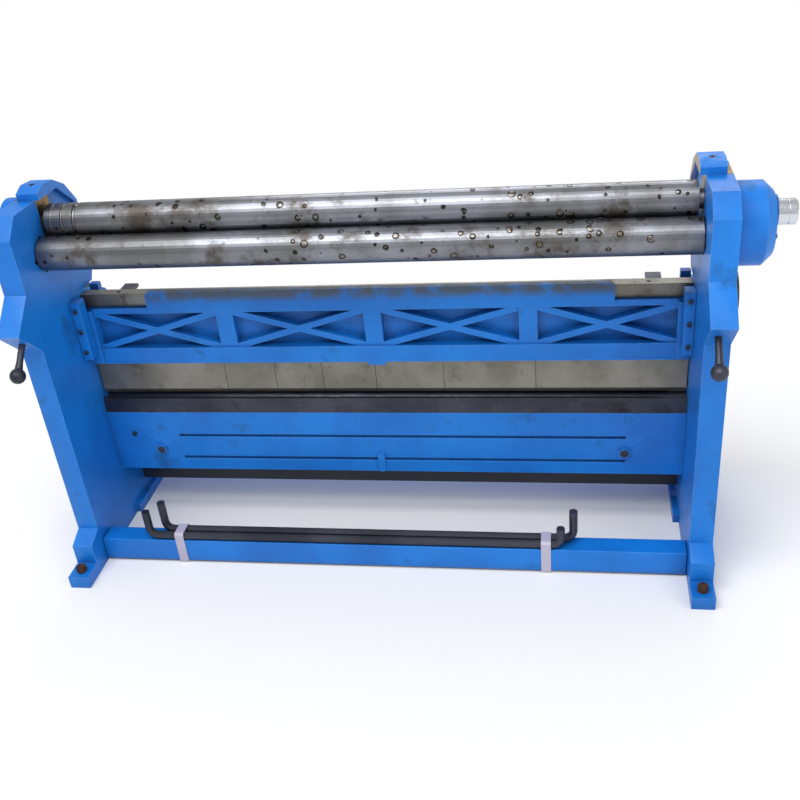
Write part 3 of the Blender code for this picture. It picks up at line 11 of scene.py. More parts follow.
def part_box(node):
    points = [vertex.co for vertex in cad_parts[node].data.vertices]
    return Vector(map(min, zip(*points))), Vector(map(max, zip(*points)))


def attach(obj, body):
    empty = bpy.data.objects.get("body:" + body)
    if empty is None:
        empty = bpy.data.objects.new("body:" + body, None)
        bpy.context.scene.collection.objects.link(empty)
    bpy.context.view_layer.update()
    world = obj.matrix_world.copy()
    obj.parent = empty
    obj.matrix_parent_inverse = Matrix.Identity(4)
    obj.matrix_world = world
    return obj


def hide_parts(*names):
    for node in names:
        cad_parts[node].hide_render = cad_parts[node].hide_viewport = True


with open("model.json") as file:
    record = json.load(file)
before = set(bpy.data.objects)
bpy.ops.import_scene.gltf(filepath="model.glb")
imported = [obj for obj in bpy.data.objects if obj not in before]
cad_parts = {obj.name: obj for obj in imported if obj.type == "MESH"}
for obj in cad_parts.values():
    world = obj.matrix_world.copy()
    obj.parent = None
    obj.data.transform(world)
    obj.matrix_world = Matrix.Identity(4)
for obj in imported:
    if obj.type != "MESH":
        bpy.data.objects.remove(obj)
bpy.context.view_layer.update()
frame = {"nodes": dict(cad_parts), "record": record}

nodes = frame["nodes"]
bodyOf = {node: body for body, names in frame["record"]["behaviour"]["bodies"].items() for node in names}
slotOf = {entry["node"]: entry["material_slot"] for entry in frame["record"]["subparts"]}
perMetre = 1000  # millimetres, in which finishes and fasteners are written
print("frame loaded:", len(nodes), "nodes")


# sRGB hex to the linear colour that shaders take
def linear(code):
    values = [int(code[n:n + 2], 16) / 255 for n in (1, 3, 5)]
    return (*[v / 12.92 if v <= 0.04045 else ((v + 0.055) / 1.055) ** 2.4 for v in values], 1.0)


# adds one shader node and gives back an output; inputs are taken by name or in order,
# and each is a number, a colour or another node's output
def addNode(tree, kind, inputs=(), output=0, **settings):
    node = tree.nodes.new("ShaderNode" + kind)
    for key, value in settings.items():
        setattr(node, key, value)
    pairs = inputs.items() if isinstance(inputs, dict) else enumerate(inputs)
    for key, value in pairs:
        if isinstance(value, bpy.types.NodeSocket):
            tree.links.new(value, node.inputs[key])
        else:
            node.inputs[key].default_value = value
    return node.outputs[output]


# settings that many nodes share; a colour mix takes its inputs by the numbers 0, 6 and 7
smoothStep = {"interpolation_type": "SMOOTHSTEP"}
multiply = {"operation": "MULTIPLY"}
colourMix = {"data_type": "RGBA", "output": 2}


# two shades of the surface in wide patches, a fine grain over them and a slow swell
def addSurface(tree, coords, look):
    stretched = addNode(tree, "Mapping", {"Vector": coords, "Scale": look["stretch"]})
    patch = addNode(tree, "TexNoise", {
        "Vector": coords, "Scale": perMetre / look["patchSize"], "Detail": 5.0, "Roughness": 0.6,
    })
    grain = addNode(tree, "TexNoise", {
        "Vector": stretched, "Scale": perMetre / look["grainSize"], "Detail": 4.0, "Roughness": 0.55,
    })
    swell = addNode(tree, "TexNoise", {
        "Vector": coords, "Scale": perMetre / look["swellSize"], "Detail": 3.0, "Roughness": 0.55,
    })
    patchShare = addNode(tree, "MapRange", (patch, *look["patchRange"]), **smoothStep)
    colour = addNode(tree, "Mix", {
        0: patchShare, 6: linear(look["shade"]), 7: linear(look["colour"]),
    }, **colourMix)
    grainShare = addNode(tree, "Math", (grain, look["grainColour"]), **multiply)
    colour = addNode(tree, "Mix", {0: grainShare, 6: colour, 7: linear(look["grainShade"])}, **colourMix)
    roughs = (look["smooth"], look["rough"])
    rough = addNode(tree, "MapRange", (grain, *look["grainRange"], *roughs), **smoothStep)
    grainHeight = addNode(tree, "Math", (grain, look["grainHeight"] / perMetre), **multiply)
    swellHeight = addNode(tree, "Math", (swell, look["swellHeight"] / perMetre), **multiply)
    return colour, rough, addNode(tree, "Math", (grainHeight, swellHeight))


# spots of another colour, on the whole piece or above a height only
def addStains(tree, coords, look, colour, rough):
    blotches = addNode(tree, "TexNoise", {
        "Vector": coords, "Scale": perMetre / look["stainSize"], "Detail": 6.0, "Roughness": 0.65,
    })
    spots = addNode(tree, "MapRange", (blotches, *look["stainRange"]), **smoothStep)
    if "stainAbove" in look:
        height = addNode(tree, "SeparateXYZ", (coords,), "Z")
        above = addNode(tree, "MapRange", (height, *look["stainAbove"]), **smoothStep)
        spots = addNode(tree, "Math", (spots, above), **multiply)
    share = addNode(tree, "Math", (spots, look["stainAmount"]), **multiply)
    colour = addNode(tree, "Mix", {0: share, 6: colour, 7: linear(look["stain"])}, **colourMix)
    share = addNode(tree, "Math", (spots, look["stainRough"]), **multiply)
    return colour, addNode(tree, "Math", (rough, share))


# raised drops of oil: one in each cell, of the cell's own width, its depth being that width
# less the distance from the cell's middle, and more of them towards the right
def addDrops(tree, coords, look, colour, rough, height):
    blotches = addNode(tree, "TexNoise", {
        "Vector": coords, "Scale": perMetre / look["dropPatch"], "Detail": 3.0, "Roughness": 0.55,
    })
    where = addNode(tree, "MapRange", (blotches, *look["dropPatchRange"]), **smoothStep)
    along = addNode(tree, "SeparateXYZ", (coords,), "X")
    along = addNode(tree, "MapRange", (along, *look["dropAlong"], look["dropLeast"], 1.0), **smoothStep)
    where = addNode(tree, "Math", (where, along), **multiply)
    cells = addNode(tree, "TexVoronoi", {
        "Vector": coords, "Scale": perMetre / look["dropCell"], "Randomness": 1.0,
    }, "Color")
    width = addNode(tree, "SeparateColor", (cells,))
    reach = addNode(tree, "Math", (width, look["dropFill"]), **multiply)
    depth = addNode(tree, "Math", (reach, cells.node.outputs["Distance"]), operation="SUBTRACT")
    depth = addNode(tree, "Math", (depth, where), **multiply)
    inside = addNode(tree, "MapRange", (depth, 0.0, look["dropEdge"]), **smoothStep)
    rim = addNode(tree, "MapRange", (depth, *look["dropRim"]), **smoothStep)
    rim = addNode(tree, "Math", (inside, rim), **multiply)
    rim = addNode(tree, "Math", (rim, look["rimTint"]), **multiply)
    inside = addNode(tree, "Math", (inside, look["dropTint"]), **multiply)
    colour = addNode(tree, "Mix", {0: inside, 6: colour, 7: linear(look["dropColour"])}, **colourMix)
    colour = addNode(tree, "Mix", {0: rim, 6: colour, 7: linear(look["dropShade"])}, **colourMix)
    wet = (depth, 0.0, look["dropWetDepth"], 0.0, look["dropSmooth"])
    wet = addNode(tree, "MapRange", wet, **smoothStep)
    rough = addNode(tree, "Math", (rough, wet), operation="SUBTRACT")
    rise = (depth, 0.0, look["dropTopDepth"], 0.0, look["dropHeight"] / perMetre)
    rise = addNode(tree, "MapRange", rise, **smoothStep)
    return colour, rough, addNode(tree, "Math", (height, rise))


# painted shade: darker colour where other surfaces stand close and shade falls
def addCornerShade(tree, look, colour):
    inputs = {"Distance": look["cornerReach"] / perMetre}
    openness = addNode(tree, "AmbientOcclusion", inputs, "AO", samples=6)
    paintedShade = (openness, *look["cornerRange"], 0.0, look["cornerAmount"])
    paintedShade = addNode(tree, "MapRange", paintedShade, **smoothStep)
    return addNode(tree, "Mix", {0: paintedShade, 6: colour, 7: linear(look["corner"])}, **colourMix)


# broken wear on edges, where a pale edge colour also stands in as a painted highlight, where a rounded
# normal turns away from the flat one
def addEdgeWearAndHighlight(tree, coords, look, colour):
    rounded = addNode(tree, "Bevel", {"Radius": look["edgeWidth"] / perMetre}, samples=6)
    normal = addNode(tree, "NewGeometry", output="Normal")
    turned = addNode(tree, "VectorMath", (rounded, normal), "Value", operation="DOT_PRODUCT")
    edge = addNode(tree, "MapRange", (turned, *look["edgeTurn"]), **smoothStep)
    breaks = addNode(tree, "TexNoise", {
        "Vector": coords, "Scale": perMetre / look["edgeBreak"], "Detail": 4.0, "Roughness": 0.55,
    })
    shares = (look["edgeLeast"], look["edgeAmount"])
    broken = addNode(tree, "MapRange", (breaks, *look["edgeBreakRange"], *shares), **smoothStep)
    wearAndHighlight = addNode(tree, "Math", (edge, broken), **multiply)
    return addNode(tree, "Mix", {0: wearAndHighlight, 6: colour, 7: linear(look["edge"])}, **colourMix)


def makeFinish(name, look):
    made = bpy.data.materials.new(name)
    made.use_nodes = True
    tree = made.node_tree
    shader = tree.nodes["Principled BSDF"]
    coords = addNode(tree, "TexCoord", output="Object")
    colour, rough, height = addSurface(tree, coords, look)
    if "stain" in look:
        colour, rough = addStains(tree, coords, look, colour, rough)
    if "dropCell" in look:
        colour, rough, height = addDrops(tree, coords, look, colour, rough, height)
    if "corner" in look:
        colour = addCornerShade(tree, look, colour)
    if "edge" in look:
        colour = addEdgeWearAndHighlight(tree, coords, look, colour)
    bump = addNode(tree, "Bump", {"Height": height, "Distance": 1.0, "Strength": 1.0})
    for key, value in (("Base Color", colour), ("Roughness", rough), ("Normal", bump)):
        tree.links.new(value, shader.inputs[key])
    shader.inputs["Metallic"].default_value = look["metallic"]
    shader.inputs["Specular IOR Level"].default_value = look["specular"]
    shader.inputs["Coat Weight"].default_value = look["coat"]
    shader.inputs["Coat Roughness"].default_value = look["coatRough"]
    return made


# what a look has where it says nothing else; sizes and heights are in millimetres, a range
# is the two noise values between which a pattern sets in, a drop's depths are shares of its
# cell, and the places in dropAlong and stainAbove are in metres
plainLook = {
    "stretch": (1.0, 1.0, 1.0), "patchSize": 220, "patchRange": (0.36, 0.64),
    "grainSize": 3, "grainRange": (0.30, 0.70), "grainColour": 0.15, "grainShade": "#202020",
    "grainHeight": 0.03, "smooth": 0.3, "rough": 0.5, "swellSize": 30, "swellHeight": 0.3,
    "metallic": 0.0, "specular": 0.5, "coat": 0.0, "coatRough": 0.1,
    "dropPatchRange": (0.42, 0.54), "dropLeast": 0.25, "dropEdge": 0.05, "dropRim": (0.17, 0.08),
    "rimTint": 0.9, "dropSmooth": 0.12, "dropWetDepth": 0.1, "dropTopDepth": 0.25,
    "cornerReach": 50, "cornerRange": (0.75, 0.25),
    "edgeTurn": (0.985, 0.86), "edgeBreak": 14, "edgeBreakRange": (0.38, 0.56), "edgeLeast": 0.15,
}
# the slots of the record, each with its material's name and its look
looks = {
    # enamel brushed on cast iron: a soft sheen on a faintly lumpy blue, thin on edges, which are pale partly
    # from worn paint and partly as a painted highlight
    "blue_paint": ("castIronBlueEnamel", {
        "colour": "#0f7ddb", "shade": "#0b6cc6", "grainShade": "#0c4788", "grainSize": 5,
        "grainColour": 0.16, "smooth": 0.36, "rough": 0.54, "grainHeight": 0.06, "swellSize": 26,
        "swellHeight": 0.7,
        "stain": "#16314f", "stainSize": 110, "stainRange": (0.56, 0.72), "stainAmount": 0.45,
        # the corner colour is painted shade in corners; the pale edge colour is partly worn paint and partly
        # a painted highlight
        "stainRough": 0.10, "corner": "#0b2c58", "cornerAmount": 0.55, "edge": "#6fa6dc", "edgeWidth": 2.5,
        "edgeAmount": 0.55, "specular": 0.32, "coat": 0.12, "coatRough": 0.22,
    }),
    # primer on rough cast iron: dull and near black, a sand-cast grain shows; also laid on the bed's rear
    # web as painted shade
    "dark_painted_casting": ("castIronDarkPaintAndShade", {
        "colour": "#2b2f38", "shade": "#20242c", "grainShade": "#0c0d10", "grainSize": 3, "smooth": 0.38,
        "rough": 0.6, "grainHeight": 0.12, "edge": "#6a6f7c", "edgeWidth": 2.0, "edgeAmount": 0.4,
    }),
    # steel ground round and oiled: bright bands along it, brown smears and standing drops;
    # its grain is drawn coarser than the wheel's grit, which is too fine to show
    "ground_roll_steel": ("groundSteelOiled", {
        "colour": "#989ca5", "shade": "#7a7b7d", "grainShade": "#45423f", "stretch": (6.0, 1.0, 1.0),
        "patchSize": 150, "grainSize": 6, "grainColour": 0.35, "smooth": 0.30, "rough": 0.46,
        "grainHeight": 0.012, "swellSize": 60, "swellHeight": 0.05, "metallic": 1.0, "stain": "#4c4136",
        "stainSize": 90, "stainRange": (0.50, 0.66), "stainAmount": 0.75, "stainRough": 0.12,
        "dropCell": 19, "dropPatch": 90, "dropFill": 0.50, "dropShade": "#1a1613", "dropHeight": 0.9,
        "dropColour": "#75664c", "dropTint": 0.45, "dropAlong": (-0.55, 0.10),
    }),
    # tool steel ground flat: an even olive grey with upright marks, also drawn coarser
    # than they are, and brown rust that breaks up its edges
    "ground_die_steel": ("groundSteelOlive", {
        "colour": "#94928a", "shade": "#7b7970", "grainShade": "#4a483e", "stretch": (1.0, 1.0, 5.0),
        "patchSize": 140, "grainSize": 5, "grainColour": 0.35, "smooth": 0.34, "rough": 0.52,
        "grainHeight": 0.015, "swellSize": 50, "swellHeight": 0.08, "metallic": 0.85, "stain": "#3d382c",
        "stainSize": 60, "stainRange": (0.54, 0.72), "stainAmount": 0.55, "stainRough": 0.10,
        "edge": "#4a3a1e", "edgeWidth": 2.2, "edgeAmount": 0.95, "edgeBreak": 5,
    }),
    # tool steel left dark from its heat treatment: a low grey shine, edges rubbed bright
    "dark_tool_steel": ("toolSteelBlackened", {
        "colour": "#50535e", "shade": "#3e414c", "grainShade": "#202127", "stretch": (0.3, 1.0, 1.0),
        "grainSize": 6, "smooth": 0.32, "rough": 0.52, "metallic": 0.9, "swellHeight": 0.08,
        "stain": "#2a211a", "stainSize": 90, "stainRange": (0.55, 0.75), "stainAmount": 0.6,
        "stainRough": 0.1, "edge": "#a9abb5", "edgeWidth": 0.8, "edgeAmount": 0.5,
    }),
    # turned bronze: a dull brown gold with darker oil on it
    "bearing_bronze": ("bearingBronzeTurned", {
        "colour": "#94794e", "shade": "#77603c", "grainShade": "#4d3416", "grainSize": 2, "smooth": 0.28,
        "rough": 0.44, "metallic": 1.0, "swellHeight": 0.03, "stain": "#3a2a18", "stainSize": 40,
        "stainRange": (0.5, 0.75), "stainAmount": 0.5, "stainRough": 0.15,
    }),
    # shaft steel turned bright: the smoothest metal here, with a few brown smears
    "turned_steel": ("turnedSteelBright", {
        "colour": "#dcdfe6", "shade": "#c4c7d0", "grainShade": "#77787c", "stretch": (8.0, 1.0, 1.0),
        "grainSize": 6, "grainColour": 0.08, "smooth": 0.21, "rough": 0.27, "grainHeight": 0.0015,
        "metallic": 1.0, "swellHeight": 0.02, "stain": "#6f6253", "stainSize": 50, "stainRange": (0.6, 0.8),
        "stainAmount": 0.5, "stainRough": 0.1,
    }),
    # steel under black oxide: soft black, grey where it is rubbed and brown where it rusts
    "black_oxide": ("steelBlackOxide", {
        "colour": "#484b55", "shade": "#343740", "grainShade": "#101114", "grainSize": 2, "smooth": 0.34,
        "rough": 0.52, "metallic": 0.7, "swellHeight": 0.06, "stain": "#3a2b20", "stainSize": 35,
        "stainRange": (0.58, 0.75), "stainAmount": 0.6, "stainRough": 0.2, "edge": "#7b7d86",
        "edgeWidth": 1.0, "edgeAmount": 0.35,
    }),
    # polypropylene strap, woven: pale lilac with a fine crosswise rib
    "strapping_band": ("plasticStrapWoven", {
        "colour": "#c3bfd2", "shade": "#b0abc0", "grainShade": "#8c87a0", "stretch": (3.0, 1.0, 1.0),
        "grainSize": 3, "grainColour": 0.4, "smooth": 0.35, "rough": 0.5, "grainHeight": 0.08,
    }),
    # bolt steel that has rusted: matt and mottled brown
    "rusty_bolt_steel": ("boltSteelRusty", {
        "colour": "#5a3a26", "shade": "#2e2019", "grainShade": "#17110d", "grainSize": 2, "patchSize": 12,
        "grainColour": 0.5, "smooth": 0.6, "rough": 0.85, "grainHeight": 0.25, "metallic": 0.35,
        "stain": "#8a4d24", "stainSize": 9, "stainRange": (0.5, 0.65), "stainAmount": 0.6, "stainRough": 0.1,
    }),
    # cast iron milled and left bare: a dull warm grey
    "bare_casting": ("castIronBareMachined", {
        "colour": "#b3aca0", "shade": "#948c80", "grainShade": "#5e574d", "grainSize": 2,
        "grainColour": 0.35, "smooth": 0.42, "rough": 0.62, "grainHeight": 0.05, "metallic": 0.6,
        "swellHeight": 0.1,
    }),
}
# the same enamel on the ram's lip, greyed by oil along its top
looks["oily_lip"] = ("castIronBlueOily", {
    **looks["blue_paint"][1], "stain": "#4b5049", "stainSize": 60, "stainRange": (0.32, 0.56),
    "stainAmount": 0.88, "stainAbove": (0.596, 0.622),
})
finishes = {slot: makeFinish(name, {**plainLook, **look}) for slot, (name, look) in looks.items()}
for node, piece in nodes.items():
    for entry in piece.material_slots:
        entry.material = finishes[slotOf[node]]
print("finishes made:", len(finishes))


# angles in degrees, the reach and the depth in metres, widths in millimetres with their steps
edges = {
    "sharpAngle": 32, "roundAngle": 34, "flatAngle": 0.6, "mergeReach": 0.00001,
    "capWidth": (2.5, 2), "ramWidth": (1.5, 2), "bedWidth": (2.0, 2), "bedWebDepth": 0.030, "facing": 0.9,
    "widths": {
        "left_side_frame": (4.0, 3), "right_side_frame": (4.0, 3), "left_bearing_cap": (2.5, 2),
        "gear_housing": (2.5, 2), "gear_cover": (3.0, 2), "shear_table": (2.0, 2),
        "front_tie_bar": (3.0, 3), "rear_tie_bar": (3.0, 3), "left_front_gib": (1.2, 2),
        "right_front_gib": (1.2, 2), "left_rear_gib": (1.2, 2), "right_rear_gib": (1.2, 2),
        "ram_top_bar": (0.8, 2), "vee_die": (0.6, 2), "upper_shear_blade": (0.4, 1),
        "lower_shear_blade": (0.4, 1), "left_eccentric_strap": (1.0, 2), "right_eccentric_strap": (1.0, 2),
        **{f"finger_die_{n}": (0.5, 2) for n in range(1, 8)},
    },
}


# a new piece that rides on a body and takes a slot of the record
def finishPiece(name, mesh, body, slot, extraSlots=()):
    piece = bpy.data.objects.new(name, mesh)
    bpy.context.scene.collection.objects.link(piece)
    mesh.materials.clear()
    for each in (slot, *extraSlots):
        mesh.materials.append(finishes[each])
    mesh.shade_smooth()
    mesh.set_sharp_from_angle(angle=math.radians(edges["sharpAngle"]))
    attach(piece, body)
    return piece


# a copy of a node with the rounded edges of its casting or grinding, width in millimetres,
# and a second finish on the faces that isOther picks
def soften(node, width, steps, isOther=None, otherSlot=None):
    mesh = nodes[node].data.copy()
    shape = bmesh.new()
    shape.from_mesh(mesh)
    bmesh.ops.remove_doubles(shape, verts=shape.verts, dist=edges["mergeReach"])
    flat = math.radians(edges["flatAngle"])
    bmesh.ops.dissolve_limit(shape, angle_limit=flat, verts=shape.verts, edges=shape.edges)
    others = [isOther is not None and isOther(face) for face in shape.faces]
    shape.to_mesh(mesh)
    shape.free()
    extraSlots = (otherSlot,) if otherSlot else ()
    piece = finishPiece(node + "_finished", mesh, bodyOf[node], slotOf[node], extraSlots)
    mesh.polygons.foreach_set("material_index", np.array(others, dtype=np.int32))
    bevel = piece.modifiers.new("edges", "BEVEL")
    bevel.width = width / perMetre
    bevel.segments = steps
    bevel.limit_method = "ANGLE"
    bevel.angle_limit = math.radians(edges["roundAngle"])
    bevel.harden_normals = True
    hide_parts(node)


for node, (width, steps) in edges["widths"].items():
    soften(node, width, steps)
# the right cap's side towards the rolls is bare
facing = edges["facing"]
soften("right_bearing_cap", *edges["capWidth"], lambda face: face.normal.x < -facing, "bare_casting")
# the ram's lip stands above the bar behind it
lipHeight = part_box("ram_top_bar")[0].z
soften("ram_beam", *edges["ramWidth"], lambda face: face.calc_center_bounds().z > lipHeight, "oily_lip")
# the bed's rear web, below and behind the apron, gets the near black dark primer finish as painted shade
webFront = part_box("bed_beam")[1].y - edges["bedWebDepth"]
soften("bed_beam", *edges["bedWidth"],
       lambda face: face.normal.y < -facing and face.calc_center_bounds().y > webFront,
       "dark_painted_casting")
print("castings rounded:", len(edges["widths"]) + 3)

fasteners = {
    "sides": 36,
    # a hexagon bolt's washer, in radii and millimetres, and its head in flats and in head heights
    "washerReach": 1.5, "washerThick": 2.4, "headShare": 0.42, "hexShare": 0.85, "topShare": 0.9,
    # a socket screw's chamfer in millimetres, and its socket's width and depth
    "chamfer": 0.6, "gripShare": 0.5, "sinkShare": 0.6,
    # where a ray that looks for a surface starts, in metres
    "farAway": 2.0,
}


# a fastener's surface: rings round an axis, each a circle of its radius or a hexagon that is
# the radius over the cosine of the angle from the middle of its flat, joined in order and
# capped; a ring is (radius, height, 1 for a hexagon) in millimetres
def ringMesh(rings, place, normal):
    sides = fasteners["sides"]
    angles = np.arange(sides) * 2 * math.pi / sides
    sixth = math.pi / 3
    hexagon = 1.0 / np.cos(angles % sixth - sixth / 2)
    radius, height, isHex = np.array(rings, dtype=float).T[:, :, None]
    reach = radius * np.where(isHex, hexagon, 1.0)
    up = np.broadcast_to(height, reach.shape)
    points = np.stack([reach * np.cos(angles), reach * np.sin(angles), up], 2).reshape(-1, 3) / perMetre
    turn = np.array(Vector(normal).to_track_quat("Z", "Y").to_matrix())
    grid = np.arange(len(points)).reshape(len(rings), sides)
    after = np.roll(grid, -1, axis=1)
    quads = np.stack([grid[:-1], after[:-1], after[1:], grid[1:]], 2).reshape(-1, 4)
    return points @ turn.T + np.array(place), quads, np.stack([grid[0, ::-1], grid[-1]])


def hexBolt(flats):
    radius = flats / 2
    washer = fasteners["washerThick"]
    head = flats * fasteners["headShare"]
    rim = radius * fasteners["washerReach"]
    return [(rim, 0, 0), (rim, washer, 0), (radius, washer, 1),
            (radius, washer + head * fasteners["hexShare"], 1),
            (radius * fasteners["topShare"], washer + head, 0)]


def socketScrew(radius, height, gripShare=fasteners["gripShare"]):
    chamfer = fasteners["chamfer"]
    grip = radius * gripShare
    return [(radius, 0, 0), (radius, height - chamfer, 0), (radius - chamfer, height, 0), (grip, height, 1),
            (grip, height * (1 - fasteners["sinkShare"]), 1)]


# all the fasteners of a group in one mesh
def addFasteners(name, body, items):
    points, faces, count = [], [], 0
    for rings, place, normal in items:
        morePoints, quads, caps = ringMesh(rings, place, normal)
        points.append(morePoints)
        faces += (quads + count).tolist() + (caps + count).tolist()
        count += len(morePoints)
    mesh = bpy.data.meshes.new(name)
    mesh.from_pydata(np.concatenate(points).tolist(), [], faces)
    finishPiece(name, mesh, body, "black_oxide")


# where a ray from outside meets a node, so that a fastener sits on its surface
def onSurface(node, way, y, z):
    mesh = nodes[node].data
    tree = BVHTree.FromPolygons([v.co for v in mesh.vertices], [p.vertices for p in mesh.polygons])
    start = Vector((-way * fasteners["farAway"], y, z))
    return tuple(tree.ray_cast(start, Vector((way, 0.0, 0.0)))[0])


# bolts through each side frame: flats in millimetres, heights and distances in metres
frameBolts = {
    "tieFlats": 17, "bedFlats": 19, "tableFlats": 13,
    "apronInset": 0.0125, "apronHeights": (0.19, 0.25), "webInset": 0.010, "webHeights": (0.10, 0.22),
    "tableFrontInset": 0.020, "tableBackInset": 0.018, "tableDrop": 0.010,
}


def addFrameBolts(side, way):
    spots = []
    for bar in ("front_tie_bar", "rear_tie_bar"):
        low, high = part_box(bar)
        spots.append((frameBolts["tieFlats"], (low[1] + high[1]) / 2, (low[2] + high[2]) / 2))
    low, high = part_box("bed_beam")
    for z in frameBolts["apronHeights"]:
        spots.append((frameBolts["bedFlats"], low[1] + frameBolts["apronInset"], z))
    for z in frameBolts["webHeights"]:
        spots.append((frameBolts["bedFlats"], high[1] - frameBolts["webInset"], z))
    low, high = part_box("shear_table")
    for y in (low[1] + frameBolts["tableFrontInset"], high[1] - frameBolts["tableBackInset"]):
        spots.append((frameBolts["tableFlats"], y, high[2] - frameBolts["tableDrop"]))
    items = []
    for flats, y, z in spots:
        place = onSurface(f"{side}_side_frame", way, y, z)
        items.append((hexBolt(flats), place, (-way, 0.0, 0.0)))
    addFasteners(f"{side}_frame_bolts", "frame", items)


# screws of the bars that guide the ram, at shares of a bar's height; sizes in millimetres
gibScrews = {"radius": 5.0, "height": 4.5, "heightShares": (0.14, 0.5, 0.86)}


def addGibScrews(gib, way):
    low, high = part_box(gib)
    x = (low[0] + high[0]) / 2
    y = low[1] if way < 0 else high[1]
    screw = socketScrew(gibScrews["radius"], gibScrews["height"])
    heights = [low[2] + (high[2] - low[2]) * share for share in gibScrews["heightShares"]]
    addFasteners(f"{gib}_screws", "frame", [(screw, (x, y, z), (0.0, way, 0.0)) for z in heights])


for side, way in (("left", 1.0), ("right", -1.0)):
    addFrameBolts(side, way)
    addGibScrews(f"{side}_front_gib", -1.0)
    addGibScrews(f"{side}_rear_gib", 1.0)
print("frame fasteners placed")

# screws that hold the upper blade, seen from behind; sizes in millimetres, places in metres
bladeScrews = {"radius": 6.0, "height": 1.2, "count": 9, "endInset": 0.06, "drop": 0.020}
low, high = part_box("upper_shear_blade")
screw = socketScrew(bladeScrews["radius"], bladeScrews["height"])
inset = bladeScrews["endInset"]
bladeX = np.linspace(low[0] + inset, high[0] - inset, bladeScrews["count"])
z = high[2] - bladeScrews["drop"]
addFasteners("upper_blade_screws", "ram", [(screw, (x, high[1], z), (0.0, 1.0, 0.0)) for x in bladeX])

# screws down into the ram from its top bar, written alike
barScrews = {"radius": 5.0, "height": 1.0, "count": 8, "endInset": 0.09}
low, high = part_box("ram_top_bar")
screw = socketScrew(barScrews["radius"], barScrews["height"])
inset = barScrews["endInset"]
barX = np.linspace(low[0] + inset, high[0] - inset, barScrews["count"])
y = (low[1] + high[1]) / 2
addFasteners("top_bar_screws", "ram", [(screw, (x, y, high[2]), (0.0, 0.0, 1.0)) for x in barX])

# the dark plugs in the bed's two bosses, and a small screw left of them on its face
bedScrews = {
    "plugPlaces": (0.1227, 1.2467), "plugZ": 0.212, "plugRadius": 9.5, "plugHeight": 2.2,
    "plugGripShare": 0.45, "screwPlace": 0.0587, "screwZ": 0.255, "screwRadius": 6.0, "screwHeight": 4.0,
    "bossProud": 0.008,
}
low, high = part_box("bed_beam")
plug = socketScrew(bedScrews["plugRadius"], bedScrews["plugHeight"], bedScrews["plugGripShare"])
places = [(low[0] + place, low[1], bedScrews["plugZ"]) for place in bedScrews["plugPlaces"]]
items = [(plug, place, (0.0, -1.0, 0.0)) for place in places]
place = (low[0] + bedScrews["screwPlace"], low[1] + bedScrews["bossProud"], bedScrews["screwZ"])
screw = socketScrew(bedScrews["screwRadius"], bedScrews["screwHeight"])
items.append((screw, place, (0.0, -1.0, 0.0)))
addFasteners("bed_front_screws", "frame", items)

# screws round the middle of the two gear covers: angles in degrees, the circle and the
# offsets (back, up) in metres
housingScrews = {"radius": 4.5, "height": 4.0, "circle": 0.050, "angles": (100, 190, 280, 350)}
coverScrews = {
    "radius": 4.0, "height": 3.5,
    "offsets": ((-0.055, -0.015), (0.055, 0.015), (-0.015, -0.055), (0.015, 0.055)),
}


def addCoverScrews(node, way, screws, offsets):
    low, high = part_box(node)
    middle = (low[1] + high[1]) / 2, (low[2] + high[2]) / 2
    screw = socketScrew(screws["radius"], screws["height"])
    items = []
    for back, up in offsets:
        place = onSurface(node, way, middle[0] + back, middle[1] + up)
        items.append((screw, place, (-way, 0.0, 0.0)))
    addFasteners(f"{node}_screws", "frame", items)


turns = np.radians(housingScrews["angles"])
onCircle = housingScrews["circle"] * np.stack([np.cos(turns), np.sin(turns)], 1)
addCoverScrews("gear_housing", -1.0, housingScrews, onCircle)
addCoverScrews("gear_cover", 1.0, coverScrews, coverScrews["offsets"])
print("ram, bed and cover fasteners placed")

# floor and surroundings: sizes in metres, the floor turning white from whiteFrom to whiteTo,
# and sideShare being how much of that counts sideways
stage = {
    "floorColour": "#f3f3f3", "floorRough": 0.9, "floorSize": 60.0,
    "whiteFrom": 0.30, "whiteTo": 1.1, "sideShare": 0.35,
    "worldSeen": 1.0, "worldLight": 0.55,
}
# soft boxes, each looking at its target; powers in watts
lights = {
    "key": {"place": (-0.6, -1.5, 3.6), "target": (0.0, 0.0, 0.5), "size": (2.8, 2.0), "power": 95.0},
    "fill": {"place": (2.8, -2.2, 1.8), "target": (0.0, 0.0, 0.5), "size": (1.8, 1.8), "power": 22.0},
    "back": {"place": (0.0, 2.6, 2.6), "target": (0.0, 0.0, 0.6), "size": (2.6, 1.2), "power": 40.0},
}


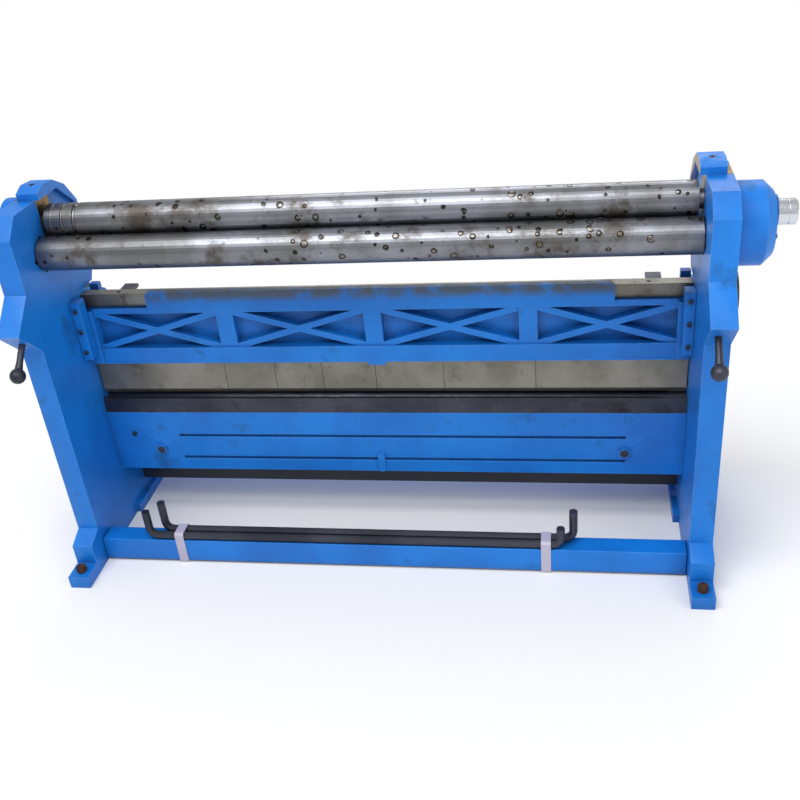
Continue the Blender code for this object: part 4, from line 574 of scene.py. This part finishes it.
def makeFloor():
    bpy.ops.mesh.primitive_plane_add(size=stage["floorSize"])
    floor = bpy.context.object
    floor.name = "pale_floor"
    material = bpy.data.materials.new("paperFloorMatte")
    material.use_nodes = True
    tree = material.node_tree
    paper = tree.nodes["Principled BSDF"]
    paper.inputs["Base Color"].default_value = linear(stage["floorColour"])
    paper.inputs["Roughness"].default_value = stage["floorRough"]
    # the paper turns into plain white light away from the machine
    glow = addNode(tree, "Emission", {"Strength": 1.0})
    coords = addNode(tree, "TexCoord", output="Object")
    coords = addNode(tree, "VectorMath", (coords, (stage["sideShare"], 1.0, 1.0)), **multiply)
    away = addNode(tree, "VectorMath", (coords,), "Value", operation="LENGTH")
    share = addNode(tree, "MapRange", (away, stage["whiteFrom"], stage["whiteTo"]), **smoothStep)
    mixed = addNode(tree, "MixShader", (share, paper.outputs[0], glow))
    tree.links.new(mixed, tree.nodes["Material Output"].inputs["Surface"])
    floor.data.materials.append(material)


# white where the camera sees it, and a softer light on the machine
def makeWorld():
    world = bpy.data.worlds.new("studio")
    bpy.context.scene.world = world
    world.use_nodes = True
    tree = world.node_tree
    background = tree.nodes["Background"]
    seen = addNode(tree, "LightPath", output="Is Camera Ray")
    strength = addNode(tree, "MapRange", (seen, 0.0, 1.0, stage["worldLight"], stage["worldSeen"]))
    tree.links.new(strength, background.inputs["Strength"])
    background.inputs["Color"].default_value = (1.0, 1.0, 1.0, 1.0)


def addLight(name, place, target, size, power):
    data = bpy.data.lights.new(name, "AREA")
    data.shape = "RECTANGLE"
    data.size, data.size_y = size
    data.energy = power
    light = bpy.data.objects.new(name, data)
    light.location = place
    light.rotation_euler = (Vector(target) - Vector(place)).to_track_quat("-Z", "Y").to_euler()
    bpy.context.scene.collection.objects.link(light)


# the camera that was fitted to the photo: place in metres, turns in degrees
photoCamera = {
    "place": (0.4046, -1.9486, 1.5109), "yaw": 11.586, "pitch": -30.419, "roll": 5.943,
    "lens": 44.487, "sensor": 36.0,
}


def makeCamera():
    data = bpy.data.cameras.new("photo_view")
    data.lens = photoCamera["lens"]
    data.sensor_width = photoCamera["sensor"]
    camera = bpy.data.objects.new("photo_view", data)
    turn = (
        Matrix.Rotation(math.radians(photoCamera["yaw"]), 3, "Z")
        @ Matrix.Rotation(math.radians(photoCamera["pitch"]), 3, "X")
        @ Matrix.Rotation(math.radians(photoCamera["roll"]), 3, "Y")
    )
    right, forward, up = turn.col
    facingOut = Matrix((right, up, -forward)).transposed()
    camera.matrix_world = Matrix.LocRotScale(Vector(photoCamera["place"]), facingOut, None)
    bpy.context.scene.collection.objects.link(camera)
    bpy.context.scene.camera = camera


makeFloor()
makeWorld()
for name, light in lights.items():
    addLight(name, **light)
makeCamera()
bpy.context.scene.view_settings.view_transform = "Standard"
print("stage set")
